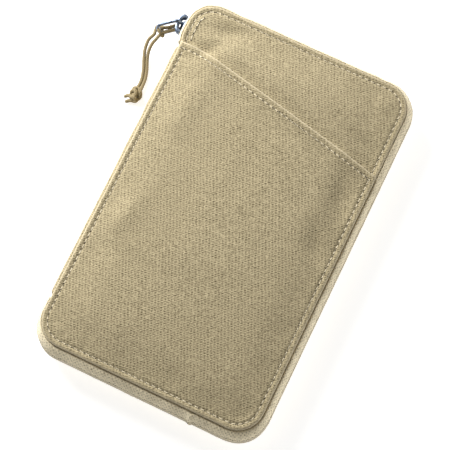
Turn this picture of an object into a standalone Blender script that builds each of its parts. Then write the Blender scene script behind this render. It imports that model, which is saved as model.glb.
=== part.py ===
"""Zip-around travel wallet that opens like a book, lying on its back panel.

Metres, +Z up. The floor is z = 0, the front panel faces +Z, the top edge is at +Y and the spine at -X.
The origin is the centre of the back panel's outer face. Each named object is one separate piece.
"""

import math

import bmesh
import bpy
import numpy as np
from mathutils import Matrix, Vector

MM = 0.001
GAP = 0.3 * MM

# Panels
HALF_WIDTH = 62 * MM
HALF_LENGTH = 100 * MM
CORNER_RADIUS = 14.5 * MM
CORNER_STEPS = 7
PANEL_THICKNESS = 1.8 * MM
PADDING_THICKNESS = 1.2 * MM
LINING_THICKNESS = 0.5 * MM
LINING_INSET = 2.5 * MM
POCKET_THICKNESS = 0.7 * MM
HEM_THICKNESS = 1.0 * MM
SLEEVE_THICKNESS = 0.4 * MM
BINDING_THICKNESS = 0.8 * MM
TOTAL_HEIGHT = 22.2 * MM
MIDDLE = TOTAL_HEIGHT / 2

# Gusset, zip tapes and zip coils. The edge stands out past the panels most at mid height, by the side it faces
LEFT_BULGE = 2.6 * MM
TOP_BULGE = 3.0 * MM
RIGHT_BULGE = 4.4 * MM
BOTTOM_BULGE = 5.4 * MM
BULGE_REACH = 9.6 * MM
GUSSET_THICKNESS = 1.0 * MM
GUSSET_ROWS = 4
TAPE_THICKNESS = 0.7 * MM
COIL_THICKNESS = 1.0 * MM
COIL_HEIGHT = 1.4 * MM
COIL_HALF_SPLIT = 0.3 * MM
TAPE_HALF_SPLIT = 0.5 * MM
TAPE_REACH = 3.6 * MM
ZIP_TOP_END = 74 * MM
ZIP_BOTTOM_END = -78.5 * MM
STOP_LENGTH = 1.6 * MM
COVER_CHAIN_START = math.radians(50)

# Spine and its two fold lines
SPINE_TOP = 71.8 * MM
SPINE_BOTTOM = -76.4 * MM
FOLD_X = -64 * MM
LOW_FOLD_Z = 1.3 * MM
HIGH_FOLD_Z = TOTAL_HEIGHT - LOW_FOLD_Z
SPINE_THICKNESS = 0.9 * MM
SPINE_LINING_THICKNESS = 0.4 * MM

# Slip pocket: its mouth runs level from the left edge, then slopes down to the right edge
MOUTH_LEVEL_Y = 74 * MM
MOUTH_BEND_X = -50 * MM
MOUTH_RIGHT_Y = 50.5 * MM
HEM_WIDTH = 4 * MM

# Inside pockets
SLEEVE_HALF_WIDTH = 52 * MM
PASSPORT_MOUTH_Y = 6 * MM
SLEEVE_BOTTOM_Y = -90 * MM
CARD_BOTTOM_Y = 14 * MM
CARD_TOP_Y = 84 * MM
CARD_STEP_Y = 11 * MM
CARD_HALF_WIDTH = 46 * MM
CARD_SLOTS = 3
DOCUMENT_MOUTH_Y = 66 * MM
BINDING_WIDTH = 6 * MM

# Slider: it follows the arc of the top left corner, between these angles past the end of the left side
ARC_CENTRE = Vector((CORNER_RADIUS - HALF_WIDTH, HALF_LENGTH - CORNER_RADIUS, 0))
SLIDER_START = math.radians(-16)
SLIDER_END = math.radians(16)
SLIDER_STEPS = 6
PLATE_HALF_HEIGHT = 3.6 * MM
OUTER_PLATE = (3.5 * MM, 5.0 * MM)
INNER_PLATE = (-1.6 * MM, -0.4 * MM)
POST_START = math.radians(-15.4)
POST_END = math.radians(-7)
POST_HEIGHT = 1.8 * MM
BRIDGE_START = math.radians(-13)
BRIDGE_END = math.radians(13)
BRIDGE_STEPS = 8
BRIDGE_RISE = 4.0 * MM
BRIDGE_THICKNESS = 1.1 * MM
BRIDGE_HALF_HEIGHT = 1.0 * MM
BRIDGE_ROUNDNESS = 0.6
FOOT_THICKNESS = 0.8 * MM

# Pull ring: a wire ring through the bridge, drooping a little and leaning on its side
RING_HEADING = math.radians(215)
RING_DROOP = math.radians(12)
RING_LEAN = math.radians(60)
RING_WIRE = 1.3 * MM
RING_LENGTH = 13.6 * MM
RING_HALF_WIDTH = 3.1 * MM
RING_END_STEPS = 7
PIVOT_OFFSET = 6.6 * MM

# Pull cord: hitched to the ring, then two strands side by side to a knot with two short tails
CORD = 1.6 * MM
CORD_SPACING = 3.5 * MM
HITCH_LENGTH = 5.6 * MM
HITCH_RADIUS = 2.5 * MM
HITCH_ALONG_RING = 8.2 * MM
HITCH_SIDES = 16
KNOT_CENTRE = Vector((-74.4, 41.6, 3.0)) * MM
KNOT_RADII = Vector((3.1, 2.9, 2.7)) * MM
OUTER_STRAND = (
    (-80.0, 75.6, 6.4), (-81.6, 71.8, 5.2), (-81.2, 66.6, 3.8), (-79.6, 61.8, 2.8),
    (-77.4, 56.8, 2.1), (-75.9, 52.0, 1.9), (-75.4, 48.4, 2.2), (-75.4, 45.3, 2.7),
)
INNER_STRAND = (
    (-77.6, 74.4, 6.2), (-78.9, 71.2, 5.0), (-78.9, 67.0, 3.8), (-77.6, 62.4, 2.8),
    (-75.5, 57.4, 2.1), (-74.1, 52.4, 1.9), (-73.5, 48.6, 2.2), (-73.4, 45.3, 2.7),
)
LONG_TAIL = ((-77.9, 40.4, 2.4), (-79.0, 39.4, 2.0), (-80.0, 38.0, 1.5))
SHORT_TAIL = ((-76.6, 38.5, 2.2), (-77.4, 37.5, 1.8), (-78.0, 36.0, 1.4))


def clear_scene():
    for obj in list(bpy.data.objects):
        bpy.data.objects.remove(obj, do_unlink=True)


def material(name, colour, roughness, metallic=0.0):
    """The Principled material with this name, made on first use."""
    made = bpy.data.materials.get(name)
    if made:
        return made
    made = bpy.data.materials.new(name)
    made.use_nodes = True
    shader = made.node_tree.nodes["Principled BSDF"]
    shader.inputs["Base Color"].default_value = (*colour, 1)
    shader.inputs["Roughness"].default_value = roughness
    shader.inputs["Metallic"].default_value = metallic
    return made


def canvas():
    return material("khaki_canvas", (0.38, 0.31, 0.19), 0.9)


def gusset_cloth():
    return material("khaki_plain_weave", (0.46, 0.39, 0.26), 0.88)


def lining_cloth():
    return material("grey_lining", (0.22, 0.22, 0.21), 0.85)


def foam():
    return material("padding_foam", (0.55, 0.54, 0.5), 0.95)


def nylon():
    return material("zip_nylon", (0.36, 0.3, 0.19), 0.5)


def slider_metal():
    return material("blue_grey_metal", (0.2, 0.26, 0.34), 0.35, 1.0)


def cord_yarn():
    return material("khaki_cord", (0.27, 0.21, 0.12), 0.85)


def empty(name, place):
    """An empty on a joint's axis, which the joint's pieces hang from."""
    made = bpy.data.objects.new(name, None)
    made.location = place
    bpy.context.scene.collection.objects.link(made)
    return made


def add_object(name, bm, finish, parent):
    bmesh.ops.recalc_face_normals(bm, faces=bm.faces)
    mesh = bpy.data.meshes.new(name)
    bm.to_mesh(mesh)
    bm.free()
    mesh.materials.append(finish)
    return hang(bpy.data.objects.new(name, mesh), parent)


def hang(obj, parent):
    bpy.context.scene.collection.objects.link(obj)
    obj.parent = parent
    obj.matrix_parent_inverse = Matrix.Translation(-parent.location)
    return obj


def arc(centre, radius, start, end, steps):
    angles = np.linspace(start, end, steps + 1)
    return [Vector((centre[0] + radius * math.cos(a), centre[1] + radius * math.sin(a))) for a in angles]


def panel_outline(inset=0.0):
    """The rounded rectangle of the panels, drawn in by inset, anticlockwise from the right side."""
    radius = CORNER_RADIUS - inset
    x = HALF_WIDTH - CORNER_RADIUS
    y = HALF_LENGTH - CORNER_RADIUS
    points = []
    for turn, centre in enumerate(((x, y), (-x, y), (-x, -y), (x, -y))):
        start = turn * math.pi / 2
        points += arc(centre, radius, start, start + math.pi / 2, CORNER_STEPS)
    return points


def prism(name, outline, low, high, finish, parent):
    """A flat piece: an outline in X and Y, from height low to height high."""
    bm = bmesh.new()
    base = bm.faces.new([bm.verts.new((p[0], p[1], low)) for p in outline])
    lifted = bmesh.ops.extrude_face_region(bm, geom=[base])["geom"]
    moved = [v for v in lifted if isinstance(v, bmesh.types.BMVert)]
    bmesh.ops.translate(bm, verts=moved, vec=(0, 0, high - low))
    return add_object(name, bm, finish, parent)


def rectangle(left, right, bottom, top):
    return [(right, bottom), (right, top), (left, top), (left, bottom)]


def edge_frames(start_angle=0.0):
    """Points of the zip's way round the panel's edge with their outward directions.

    It goes up the end of the left side, round by the top, right and bottom, and back to the left side.
    A start_angle above 0 leaves out the way up to that angle of the first corner.
    """
    x = HALF_WIDTH - CORNER_RADIUS
    y = HALF_LENGTH - CORNER_RADIUS
    left = Vector((-1, 0))
    frames = []
    if start_angle == 0:
        frames.append((Vector((-HALF_WIDTH, ZIP_TOP_END)), left))
    corners = ((-x, y, math.pi), (x, y, math.pi / 2), (x, -y, 0), (-x, -y, -math.pi / 2))
    for count, (cx, cy, start) in enumerate(corners):
        first = start - start_angle if count == 0 else start
        for angle in np.linspace(first, start - math.pi / 2, CORNER_STEPS + 1):
            out = Vector((math.cos(angle), math.sin(angle)))
            frames.append((Vector((cx, cy)) + out * CORNER_RADIUS, out))
    frames.append((Vector((-HALF_WIDTH, ZIP_BOTTOM_END)), left))
    return frames


def corner_frames(start, end, steps):
    """The same along part of the top left corner's arc, between two angles past the left side's end."""
    frames = []
    for angle in np.linspace(math.pi - start, math.pi - end, steps + 1):
        out = Vector((math.cos(angle), math.sin(angle)))
        frames.append((ARC_CENTRE.to_2d() + out * CORNER_RADIUS, out))
    return frames


def band(name, frames, section, finish, parent):
    """A section carried along frames, with closed ends.

    The section's points are (share, offset, height): each stands out by that share of the bulge, plus the offset.
    """
    bm = bmesh.new()
    rings = []
    for point, out in frames:
        full = side_bulge(out)
        places = [(*(point + out * (share * full + offset)), height) for share, offset, height in section]
        rings.append([bm.verts.new(place) for place in places])
    count = len(section)
    for ring, after in zip(rings, rings[1:]):
        for i in range(count):
            j = (i + 1) % count
            bm.faces.new((ring[i], ring[j], after[j], after[i]))
    bm.faces.new(rings[0])
    bm.faces.new(rings[-1])
    return add_object(name, bm, finish, parent)


def side_bulge(out):
    """How far the wallet's edge stands out at mid height where it faces this way."""
    across = (RIGHT_BULGE if out.x > 0 else LEFT_BULGE) * out.x**2
    along = (TOP_BULGE if out.y > 0 else BOTTOM_BULGE) * out.y**2
    return across + along


def bulge_share(height):
    return 1 - ((height - MIDDLE) / BULGE_REACH) ** 2


def bulged_section(low, high, thickness, rows):
    heights = np.linspace(low, high, rows + 1)
    outside = [(bulge_share(h), 0, h) for h in heights]
    inside = [(bulge_share(h), -thickness, h) for h in reversed(heights)]
    return outside + inside


def mirrored(section):
    """The same section in the cover, which is the back half turned over about the middle height."""
    return [(share, offset, TOTAL_HEIGHT - height) for share, offset, height in section]


def gusset_section():
    low = PANEL_THICKNESS + GAP
    high = MIDDLE - TAPE_REACH - GAP
    return bulged_section(low, high, GUSSET_THICKNESS, GUSSET_ROWS)


def tape_section():
    return bulged_section(MIDDLE - TAPE_REACH, MIDDLE - TAPE_HALF_SPLIT, TAPE_THICKNESS, 1)


def coil_section():
    top = MIDDLE - COIL_HALF_SPLIT
    outer = -TAPE_THICKNESS - 2 * GAP
    return [
        (1, outer, top),
        (1, outer, top - COIL_HEIGHT),
        (1, outer - COIL_THICKNESS, top - COIL_HEIGHT),
        (1, outer - COIL_THICKNESS, top),
    ]


def tube(name, points, diameter, finish, parent, cyclic=False):
    """A round cord or wire through these points."""
    curve = bpy.data.curves.new(name, "CURVE")
    curve.dimensions = "3D"
    curve.bevel_depth = diameter / 2
    curve.bevel_resolution = 2
    curve.use_fill_caps = True
    spline = curve.splines.new("POLY")
    spline.points.add(len(points) - 1)
    for target, point in zip(spline.points, points):
        target.co = (*point, 1)
    spline.use_cyclic_u = cyclic
    curve.materials.append(finish)
    return hang(bpy.data.objects.new(name, curve), parent)


def smooth_route(points, spacing):
    """Points about this far apart on a smooth curve through the route's points."""
    ends = [2 * points[0] - points[1]] + points + [2 * points[-1] - points[-2]]
    route = []
    for a, b, c, d in zip(ends, ends[1:], ends[2:], ends[3:]):
        steps = max(1, round((c - b).length / spacing))
        for t in np.linspace(0, 1, steps, endpoint=False):
            route.append(0.5 * (2 * b + (c - a) * t + (2 * a - 5 * b + 4 * c - d) * t**2
                                + (3 * b - a - 3 * c + d) * t**3))
    return route + [points[-1]]


def build_back(root):
    level = PANEL_THICKNESS + GAP
    prism("back_panel", panel_outline(), 0, PANEL_THICKNESS, canvas(), root)
    prism("back_padding", panel_outline(LINING_INSET), level, level + PADDING_THICKNESS, foam(), root)
    level += PADDING_THICKNESS + GAP
    prism("back_lining", panel_outline(LINING_INSET), level, level + LINING_THICKNESS, lining_cloth(), root)
    level += LINING_THICKNESS + GAP
    build_passport_sleeve(level, root)
    build_card_slots(level, root)
    band("back_gusset", edge_frames(), gusset_section(), gusset_cloth(), root)
    band("back_zip_tape", edge_frames(), tape_section(), gusset_cloth(), root)
    band("back_zip_coil", edge_frames(), coil_section(), nylon(), root)
    build_zip_stop("zip_top_stop", ZIP_TOP_END - GAP - STOP_LENGTH, root)
    build_zip_stop("zip_bottom_stop", ZIP_BOTTOM_END + GAP, root)


def build_zip_stop(name, bottom, root):
    """The small clip that ends the back half's row of teeth."""
    outer = HALF_WIDTH + LEFT_BULGE - TAPE_THICKNESS - 2 * GAP
    low = MIDDLE - COIL_HALF_SPLIT - COIL_HEIGHT
    outline = rectangle(-outer, COIL_THICKNESS - outer, bottom, bottom + STOP_LENGTH)
    prism(name, outline, low, MIDDLE - COIL_HALF_SPLIT, slider_metal(), root)


def build_passport_sleeve(level, root):
    mouth = PASSPORT_MOUTH_Y - BINDING_WIDTH
    outline = rectangle(-SLEEVE_HALF_WIDTH, SLEEVE_HALF_WIDTH, SLEEVE_BOTTOM_Y, mouth - GAP)
    prism("passport_sleeve", outline, level, level + SLEEVE_THICKNESS, lining_cloth(), root)
    outline = rectangle(-SLEEVE_HALF_WIDTH, SLEEVE_HALF_WIDTH, mouth, PASSPORT_MOUTH_Y)
    prism("passport_sleeve_binding", outline, level, level + BINDING_THICKNESS, gusset_cloth(), root)


def build_card_slots(level, root):
    """Card slots, each lying on the one behind it and a step shorter."""
    for count in range(CARD_SLOTS):
        top = CARD_TOP_Y - count * CARD_STEP_Y
        low = level + count * (SLEEVE_THICKNESS + GAP)
        outline = rectangle(-CARD_HALF_WIDTH, CARD_HALF_WIDTH, CARD_BOTTOM_Y, top)
        prism(f"card_slot_{count + 1}", outline, low, low + SLEEVE_THICKNESS, lining_cloth(), root)


def build_spine(fold):
    """The strip between the two fold lines, with its lining inside."""
    low = LOW_FOLD_Z + GAP
    high = HIGH_FOLD_Z - GAP
    outside = FOLD_X - GAP
    inside = outside + SPINE_THICKNESS
    outline = rectangle(outside, inside, SPINE_BOTTOM, SPINE_TOP)
    prism("spine_panel", outline, low, high, canvas(), fold)
    outline = rectangle(inside + GAP, inside + GAP + SPINE_LINING_THICKNESS, SPINE_BOTTOM, SPINE_TOP)
    prism("spine_lining", outline, low, high, lining_cloth(), fold)


def mouth_y(x):
    """Height up the panel of the slip pocket's mouth."""
    if x < MOUTH_BEND_X:
        return MOUTH_LEVEL_Y
    slope = (MOUTH_RIGHT_Y - MOUTH_LEVEL_Y) / (HALF_WIDTH - MOUTH_BEND_X)
    return MOUTH_LEVEL_Y + slope * (x - MOUTH_BEND_X)


def build_slip_pocket(level, cover):
    """The pocket's cloth over the front panel, and the turned hem along its mouth."""
    x = HALF_WIDTH - CORNER_RADIUS
    y = CORNER_RADIUS - HALF_LENGTH
    drop = HEM_WIDTH + GAP
    outline = arc((-x, y), CORNER_RADIUS, math.pi, 1.5 * math.pi, CORNER_STEPS)
    outline += arc((x, y), CORNER_RADIUS, 1.5 * math.pi, 2 * math.pi, CORNER_STEPS)
    mouth = (HALF_WIDTH, MOUTH_BEND_X, -HALF_WIDTH)
    outline += [(side, mouth_y(side) - drop) for side in mouth]
    prism("slip_pocket_panel", outline, level, level + POCKET_THICKNESS, canvas(), cover)
    outline = [(side, mouth_y(side) - HEM_WIDTH) for side in reversed(mouth)]
    outline += [(side, mouth_y(side)) for side in mouth]
    prism("slip_pocket_hem", outline, level, level + HEM_THICKNESS, canvas(), cover)


def build_cover(cover):
    level = TOTAL_HEIGHT - HEM_THICKNESS
    build_slip_pocket(level, cover)
    level -= GAP
    prism("front_panel", panel_outline(), level - PANEL_THICKNESS, level, canvas(), cover)
    level -= PANEL_THICKNESS + GAP
    inner = panel_outline(LINING_INSET)
    prism("front_padding", inner, level - PADDING_THICKNESS, level, foam(), cover)
    level -= PADDING_THICKNESS + GAP
    prism("front_lining", inner, level - LINING_THICKNESS, level, lining_cloth(), cover)
    level -= LINING_THICKNESS + GAP
    build_document_sleeve(level, cover)
    low = TOTAL_HEIGHT - HEM_THICKNESS - PANEL_THICKNESS - 2 * GAP
    high = MIDDLE + TAPE_REACH + GAP
    section = bulged_section(low, high, GUSSET_THICKNESS, GUSSET_ROWS)
    band("front_gusset", edge_frames(), section, gusset_cloth(), cover)
    chain = edge_frames(COVER_CHAIN_START)
    band("front_zip_tape", chain, mirrored(tape_section()), gusset_cloth(), cover)
    band("front_zip_coil", chain, mirrored(coil_section()), nylon(), cover)


def build_document_sleeve(level, cover):
    mouth = DOCUMENT_MOUTH_Y - BINDING_WIDTH
    outline = rectangle(-SLEEVE_HALF_WIDTH, SLEEVE_HALF_WIDTH, SLEEVE_BOTTOM_Y, mouth - GAP)
    prism("document_sleeve", outline, level - SLEEVE_THICKNESS, level, lining_cloth(), cover)
    outline = rectangle(-SLEEVE_HALF_WIDTH, SLEEVE_HALF_WIDTH, mouth, DOCUMENT_MOUTH_Y)
    prism("document_sleeve_binding", outline, level - BINDING_THICKNESS, level, gusset_cloth(), cover)


def box_section(offsets, low, high):
    near, far = offsets
    return [(0, far, low), (0, far, high), (0, near, high), (0, near, low)]


def build_slider(run):
    """Two curved plates joined by a post, and the bridge that holds the pull ring."""
    low = MIDDLE - PLATE_HALF_HEIGHT
    high = MIDDLE + PLATE_HALF_HEIGHT
    frames = corner_frames(SLIDER_START, SLIDER_END, SLIDER_STEPS)
    body = band("slider_body", frames, box_section(OUTER_PLATE, low, high), slider_metal(), run)
    inner = band("inner_plate", frames, box_section(INNER_PLATE, low, high), slider_metal(), run)
    reach = (INNER_PLATE[0] + GAP, OUTER_PLATE[1] - GAP)
    post_section = box_section(reach, MIDDLE, MIDDLE + POST_HEIGHT)
    post = band("post", corner_frames(POST_START, POST_END, 2), post_section, slider_metal(), run)
    for joined in (inner, post):
        joined.hide_render = True
        joined.display_type = "WIRE"
        union = body.modifiers.new(joined.name, "BOOLEAN")
        union.operation = "UNION"
        union.object = joined
    build_bridge(run)


def build_bridge(run):
    """A strip that rises from one end of the outer plate and comes down at the other."""
    base = OUTER_PLATE[1] + GAP
    low = MIDDLE - BRIDGE_HALF_HEIGHT
    high = MIDDLE + BRIDGE_HALF_HEIGHT
    bm = bmesh.new()
    rings = []
    for point, out in corner_frames(BRIDGE_START, BRIDGE_END, BRIDGE_STEPS):
        t = len(rings) / BRIDGE_STEPS
        rise = BRIDGE_RISE * math.sin(math.pi * t) ** BRIDGE_ROUNDNESS if 0 < t < 1 else 0.0
        near = base + max(0.0, rise - BRIDGE_THICKNESS)
        far = base + max(FOOT_THICKNESS, rise)
        corners = [(far, low), (far, high), (near, high), (near, low)]
        rings.append([bm.verts.new((*(point + out * offset), height)) for offset, height in corners])
    for ring, after in zip(rings, rings[1:]):
        for i in range(4):
            j = (i + 1) % 4
            bm.faces.new((ring[i], ring[j], after[j], after[i]))
    bm.faces.new(rings[0])
    bm.faces.new(rings[-1])
    add_object("slider_bridge", bm, slider_metal(), run)


def pull_pivot():
    return ARC_CENTRE + Vector((-CORNER_RADIUS - PIVOT_OFFSET, 0, MIDDLE))


def ring_directions():
    """Along the pull ring, and across it towards its lower side."""
    heading = Vector((math.cos(RING_HEADING), math.sin(RING_HEADING), 0))
    down = Vector((0, 0, -1))
    along = heading * math.cos(RING_DROOP) + down * math.sin(RING_DROOP)
    side = Vector((-heading.y, heading.x, 0))
    across = side * math.cos(RING_LEAN) + down * math.sin(RING_LEAN)
    across = (across - across.dot(along) * along).normalized()
    return along, across


def build_pull(swing):
    along, across = ring_directions()
    start = pull_pivot() - along * (RING_WIRE / 2)
    straight = RING_LENGTH - 2 * RING_HALF_WIDTH
    points = []
    for end, centre in ((1, RING_HALF_WIDTH + straight), (-1, RING_HALF_WIDTH)):
        for angle in np.linspace(-math.pi / 2, math.pi / 2, RING_END_STEPS):
            forward = centre + end * RING_HALF_WIDTH * math.cos(angle)
            points.append(start + along * forward + across * (end * RING_HALF_WIDTH * math.sin(angle)))
    tube("pull_ring", points, RING_WIRE, slider_metal(), swing, cyclic=True)
    build_hitch(start + across * RING_HALF_WIDTH, along, swing)
    for name, route in (
        ("cord_outer_strand", OUTER_STRAND),
        ("cord_inner_strand", INNER_STRAND),
        ("cord_long_tail", LONG_TAIL),
        ("cord_short_tail", SHORT_TAIL),
    ):
        points = smooth_route([Vector(p) * MM for p in route], CORD_SPACING)
        tube(name, points, CORD, cord_yarn(), swing)
    build_knot(swing)


def build_hitch(wire, along, swing):
    """The cord's hitch round the ring's lower side, as a plain sleeve."""
    inner = RING_WIRE / 2 + GAP
    bm = bmesh.new()
    helper = along.orthogonal().normalized()
    other = along.cross(helper)
    profile = ((inner, 0), (HITCH_RADIUS, 0), (HITCH_RADIUS, HITCH_LENGTH), (inner, HITCH_LENGTH))
    rings = []
    for i in range(HITCH_SIDES):
        angle = 2 * math.pi * i / HITCH_SIDES
        out = helper * math.cos(angle) + other * math.sin(angle)
        first = wire + along * (HITCH_ALONG_RING - HITCH_LENGTH / 2)
        rings.append([bm.verts.new(first + out * radius + along * forward) for radius, forward in profile])
    for i, ring in enumerate(rings):
        after = rings[(i + 1) % HITCH_SIDES]
        for j in range(4):
            k = (j + 1) % 4
            bm.faces.new((ring[j], ring[k], after[k], after[j]))
    add_object("cord_hitch", bm, cord_yarn(), swing)


def build_knot(swing):
    """The overhand knot that ties the two strands, as a plain rounded solid."""
    bm = bmesh.new()
    bmesh.ops.create_icosphere(bm, subdivisions=2, radius=1)
    bmesh.ops.scale(bm, vec=KNOT_RADII, verts=bm.verts)
    bmesh.ops.translate(bm, vec=KNOT_CENTRE, verts=bm.verts)
    add_object("cord_knot", bm, cord_yarn(), swing)


def main():
    clear_scene()
    build_back(empty("back_half", (0, 0, 0)))
    build_spine(empty("spine_fold_axis", (FOLD_X, 0, LOW_FOLD_Z)))
    build_cover(empty("cover_fold_axis", (FOLD_X, 0, HIGH_FOLD_Z)))
    build_slider(empty("slider_run_axis", ARC_CENTRE))
    build_pull(empty("pull_swing_axis", pull_pivot()))
    bpy.context.view_layer.update()


main()
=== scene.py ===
"""Looks of a zip-around travel wallet in khaki canvas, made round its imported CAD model.

Metres, +Z up, in the model's frame. The wallet lies on its back, its top edge at +Y and its spine at -X.
"""

import math

import bpy
import numpy as np
from mathutils import Matrix, Vector


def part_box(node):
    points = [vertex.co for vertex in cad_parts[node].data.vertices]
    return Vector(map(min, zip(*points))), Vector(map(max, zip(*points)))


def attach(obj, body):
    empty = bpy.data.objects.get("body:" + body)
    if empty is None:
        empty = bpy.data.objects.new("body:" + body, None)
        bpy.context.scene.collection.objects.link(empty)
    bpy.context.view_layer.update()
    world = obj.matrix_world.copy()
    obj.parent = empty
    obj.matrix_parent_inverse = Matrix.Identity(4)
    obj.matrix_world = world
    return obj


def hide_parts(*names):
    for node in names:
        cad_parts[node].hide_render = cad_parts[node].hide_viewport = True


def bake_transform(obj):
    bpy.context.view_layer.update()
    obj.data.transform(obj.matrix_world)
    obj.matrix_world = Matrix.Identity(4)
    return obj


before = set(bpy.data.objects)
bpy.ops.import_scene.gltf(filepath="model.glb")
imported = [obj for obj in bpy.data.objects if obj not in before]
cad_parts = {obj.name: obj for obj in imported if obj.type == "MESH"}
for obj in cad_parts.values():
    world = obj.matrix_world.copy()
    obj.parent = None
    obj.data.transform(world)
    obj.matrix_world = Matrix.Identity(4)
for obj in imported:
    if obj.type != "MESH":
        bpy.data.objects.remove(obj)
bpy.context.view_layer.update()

MM = 0.001
TURN = 2 * math.pi

# Sizes read from the frame
panel_low, panel_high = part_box("front_panel")
HALF_WIDTH, HALF_LENGTH, FRONT_TOP = panel_high
FRONT_BOTTOM = panel_low.z
BACK_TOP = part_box("back_panel")[1].z
POCKET_LOW, POCKET_HIGH = (corner.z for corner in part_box("slip_pocket_panel"))
TOTAL_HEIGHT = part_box("slip_pocket_hem")[1].z
MIDDLE = TOTAL_HEIGHT / 2
SPINE_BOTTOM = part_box("spine_panel")[0].y
SPINE_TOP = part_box("spine_panel")[1].y

# Sizes of the design that a box doesn't show
CORNER_RADIUS = 14.5 * MM
FOLD_X = -64 * MM
LOW_FOLD_Z = 1.3 * MM
ZIP_TOP_END = 74 * MM
ZIP_BOTTOM_END = -78.5 * MM
MOUTH_LEVEL_Y = 74 * MM
MOUTH_BEND_X = -50 * MM
MOUTH_RIGHT_Y = 50.5 * MM
HEM_WIDTH = 4 * MM
MOUTH_SLOPE = (MOUTH_RIGHT_Y - MOUTH_LEVEL_Y) / (HALF_WIDTH - MOUTH_BEND_X)
# Half the length of the panels' straight edges, which are also the places of the corners' centres
STRAIGHT_X = HALF_WIDTH - CORNER_RADIUS
STRAIGHT_Y = HALF_LENGTH - CORNER_RADIUS

# Sewing
STITCH_INSET = 3 * MM
SECOND_INSET = 5.4 * MM
PITCH = 3.5 * MM
THREAD = 0.5 * MM
STITCH_SAMPLES = 13
STITCH_SIDES = 8
STITCH_RISE = 0.12 * MM
STITCH_SLANT = 0.16 * MM
HEM_STITCH = 3.3 * MM

# Cord route, from the design
CORD = 1.9 * MM
KNOT_CENTRE = Vector((-74.4, 41.6, 3.4))
OUTER_STRAND = (
    (-80.0, 75.6, 6.4), (-81.6, 71.8, 5.2), (-81.2, 66.6, 3.8), (-79.6, 61.8, 2.8),
    (-77.4, 56.8, 2.1), (-75.9, 52.0, 1.9), (-75.4, 48.4, 2.2), (-75.4, 45.3, 2.7),
)
INNER_STRAND = (
    (-77.8, 74.0, 6.2), (-78.9, 70.6, 5.0), (-79.0, 66.6, 3.8), (-77.9, 62.5, 2.8),
    (-75.7, 57.4, 2.1), (-74.1, 52.4, 1.9), (-73.6, 48.6, 2.2), (-73.5, 45.6, 2.7),
)
LONG_TAIL = ((-78.3, 39.6, 2.4), (-79.2, 38.9, 2.0), (-80.0, 38.2, 1.6))
SHORT_TAIL = ((-76.7, 37.3, 1.8), (-77.6, 36.6, 1.6), (-78.4, 36.0, 1.4))


# ---------------------------------------------------------------- numbers

def smooth(value, start, end):
    """0 before start, 1 after end and an eased step between."""
    t = np.clip((value - start) / (end - start), 0, 1)
    return t * t * (3 - 2 * t)


def bilinear(corner, across, up):
    """The value inside a cell. corner gives that at a corner, from 0 or 1 across and 0 or 1 up."""
    low = corner(0, 0) * (1 - across) + corner(1, 0) * across
    high = corner(0, 1) * (1 - across) + corner(1, 1) * across
    return low * (1 - up) + high * up


def soft_noise(x, y, size, seed):
    """Smooth noise from -1 to 1 whose lumps are about size across."""
    cells = 64
    table = np.random.default_rng(seed).uniform(-1, 1, (cells, cells))
    u = np.asarray(x) / size + 1000
    v = np.asarray(y) / size + 1000
    i = np.floor(u).astype(int)
    j = np.floor(v).astype(int)
    across = smooth(u - i, 0, 1)
    up = smooth(v - j, 0, 1)
    return bilinear(lambda m, n: table[(i + m) % cells, (j + n) % cells], across, up)


def hump(distance, width):
    """1 at no distance, fading to nothing over about twice this width."""
    return np.exp(-(distance / width) ** 2)


def spread(low, high, spacing):
    return np.linspace(low, high, max(2, round((high - low) / spacing) + 1))


def running_length(points):
    steps = np.linalg.norm(np.diff(points, axis=0), axis=1)
    return np.concatenate([[0], np.cumsum(steps)])


def resample(points, places):
    """Points at these distances along a polyline."""
    along = running_length(points)
    return np.stack([np.interp(places, along, points[:, k]) for k in range(points.shape[1])], 1)


def smooth_route(points, spacing):
    """Points about this far apart on a smooth curve through a route's points."""
    p = np.array(points, float)
    ends = np.vstack([2 * p[0] - p[1], p, 2 * p[-1] - p[-2]])
    route = []
    for a, b, c, d in zip(ends, ends[1:], ends[2:], ends[3:]):
        steps = max(1, round(np.linalg.norm(c - b) / spacing))
        for t in np.linspace(0, 1, steps, endpoint=False):
            curve = 2 * b + (c - a) * t + (2 * a - 5 * b + 4 * c - d) * t**2
            route.append(0.5 * (curve + (3 * b - a - 3 * c + d) * t**3))
    return np.array(route + [p[-1]])


# ---------------------------------------------------------------- meshes

def volume(verts, faces):
    a, b, c = (verts[[face[k] for face in faces]] for k in range(3))
    total = np.einsum("ij,ij->", a, np.cross(b, c))
    quads = [face for face in faces if len(face) == 4]
    if quads:
        a, b, c = (verts[[face[k] for face in quads]] for k in (0, 2, 3))
        total += np.einsum("ij,ij->", a, np.cross(b, c))
    return total / 6


def add_mesh(name, verts, faces, finish, uvs):
    """A smooth-shaded mesh object. uvs are its cloth coordinates in metres, for each corner of each face."""
    verts = np.asarray(verts, float)
    faces = [tuple(face) for face in faces]
    if volume(verts - verts.mean(0), faces) < 0:
        faces = [face[::-1] for face in faces]
        uvs = [corners[::-1] for corners in uvs]
    mesh = bpy.data.meshes.new(name)
    mesh.from_pydata(verts.tolist(), [], faces)
    mesh.polygons.foreach_set("use_smooth", [True] * len(faces))
    flat = np.concatenate([np.asarray(corners, float).reshape(-1, 2) for corners in uvs])
    mesh.uv_layers.new(name="cloth").uv.foreach_set("vector", flat.ravel())
    mesh.materials.append(finish)
    mesh.update()
    return link(bpy.data.objects.new(name, mesh))


def link(obj):
    bpy.context.scene.collection.objects.link(obj)
    return obj


def place(obj, body, slot, *nodes):
    """obj rides on body and stands for these CAD nodes, which it hides. slot is not used."""
    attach(obj, body)
    if nodes:
        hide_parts(*nodes)
    return obj


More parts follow.
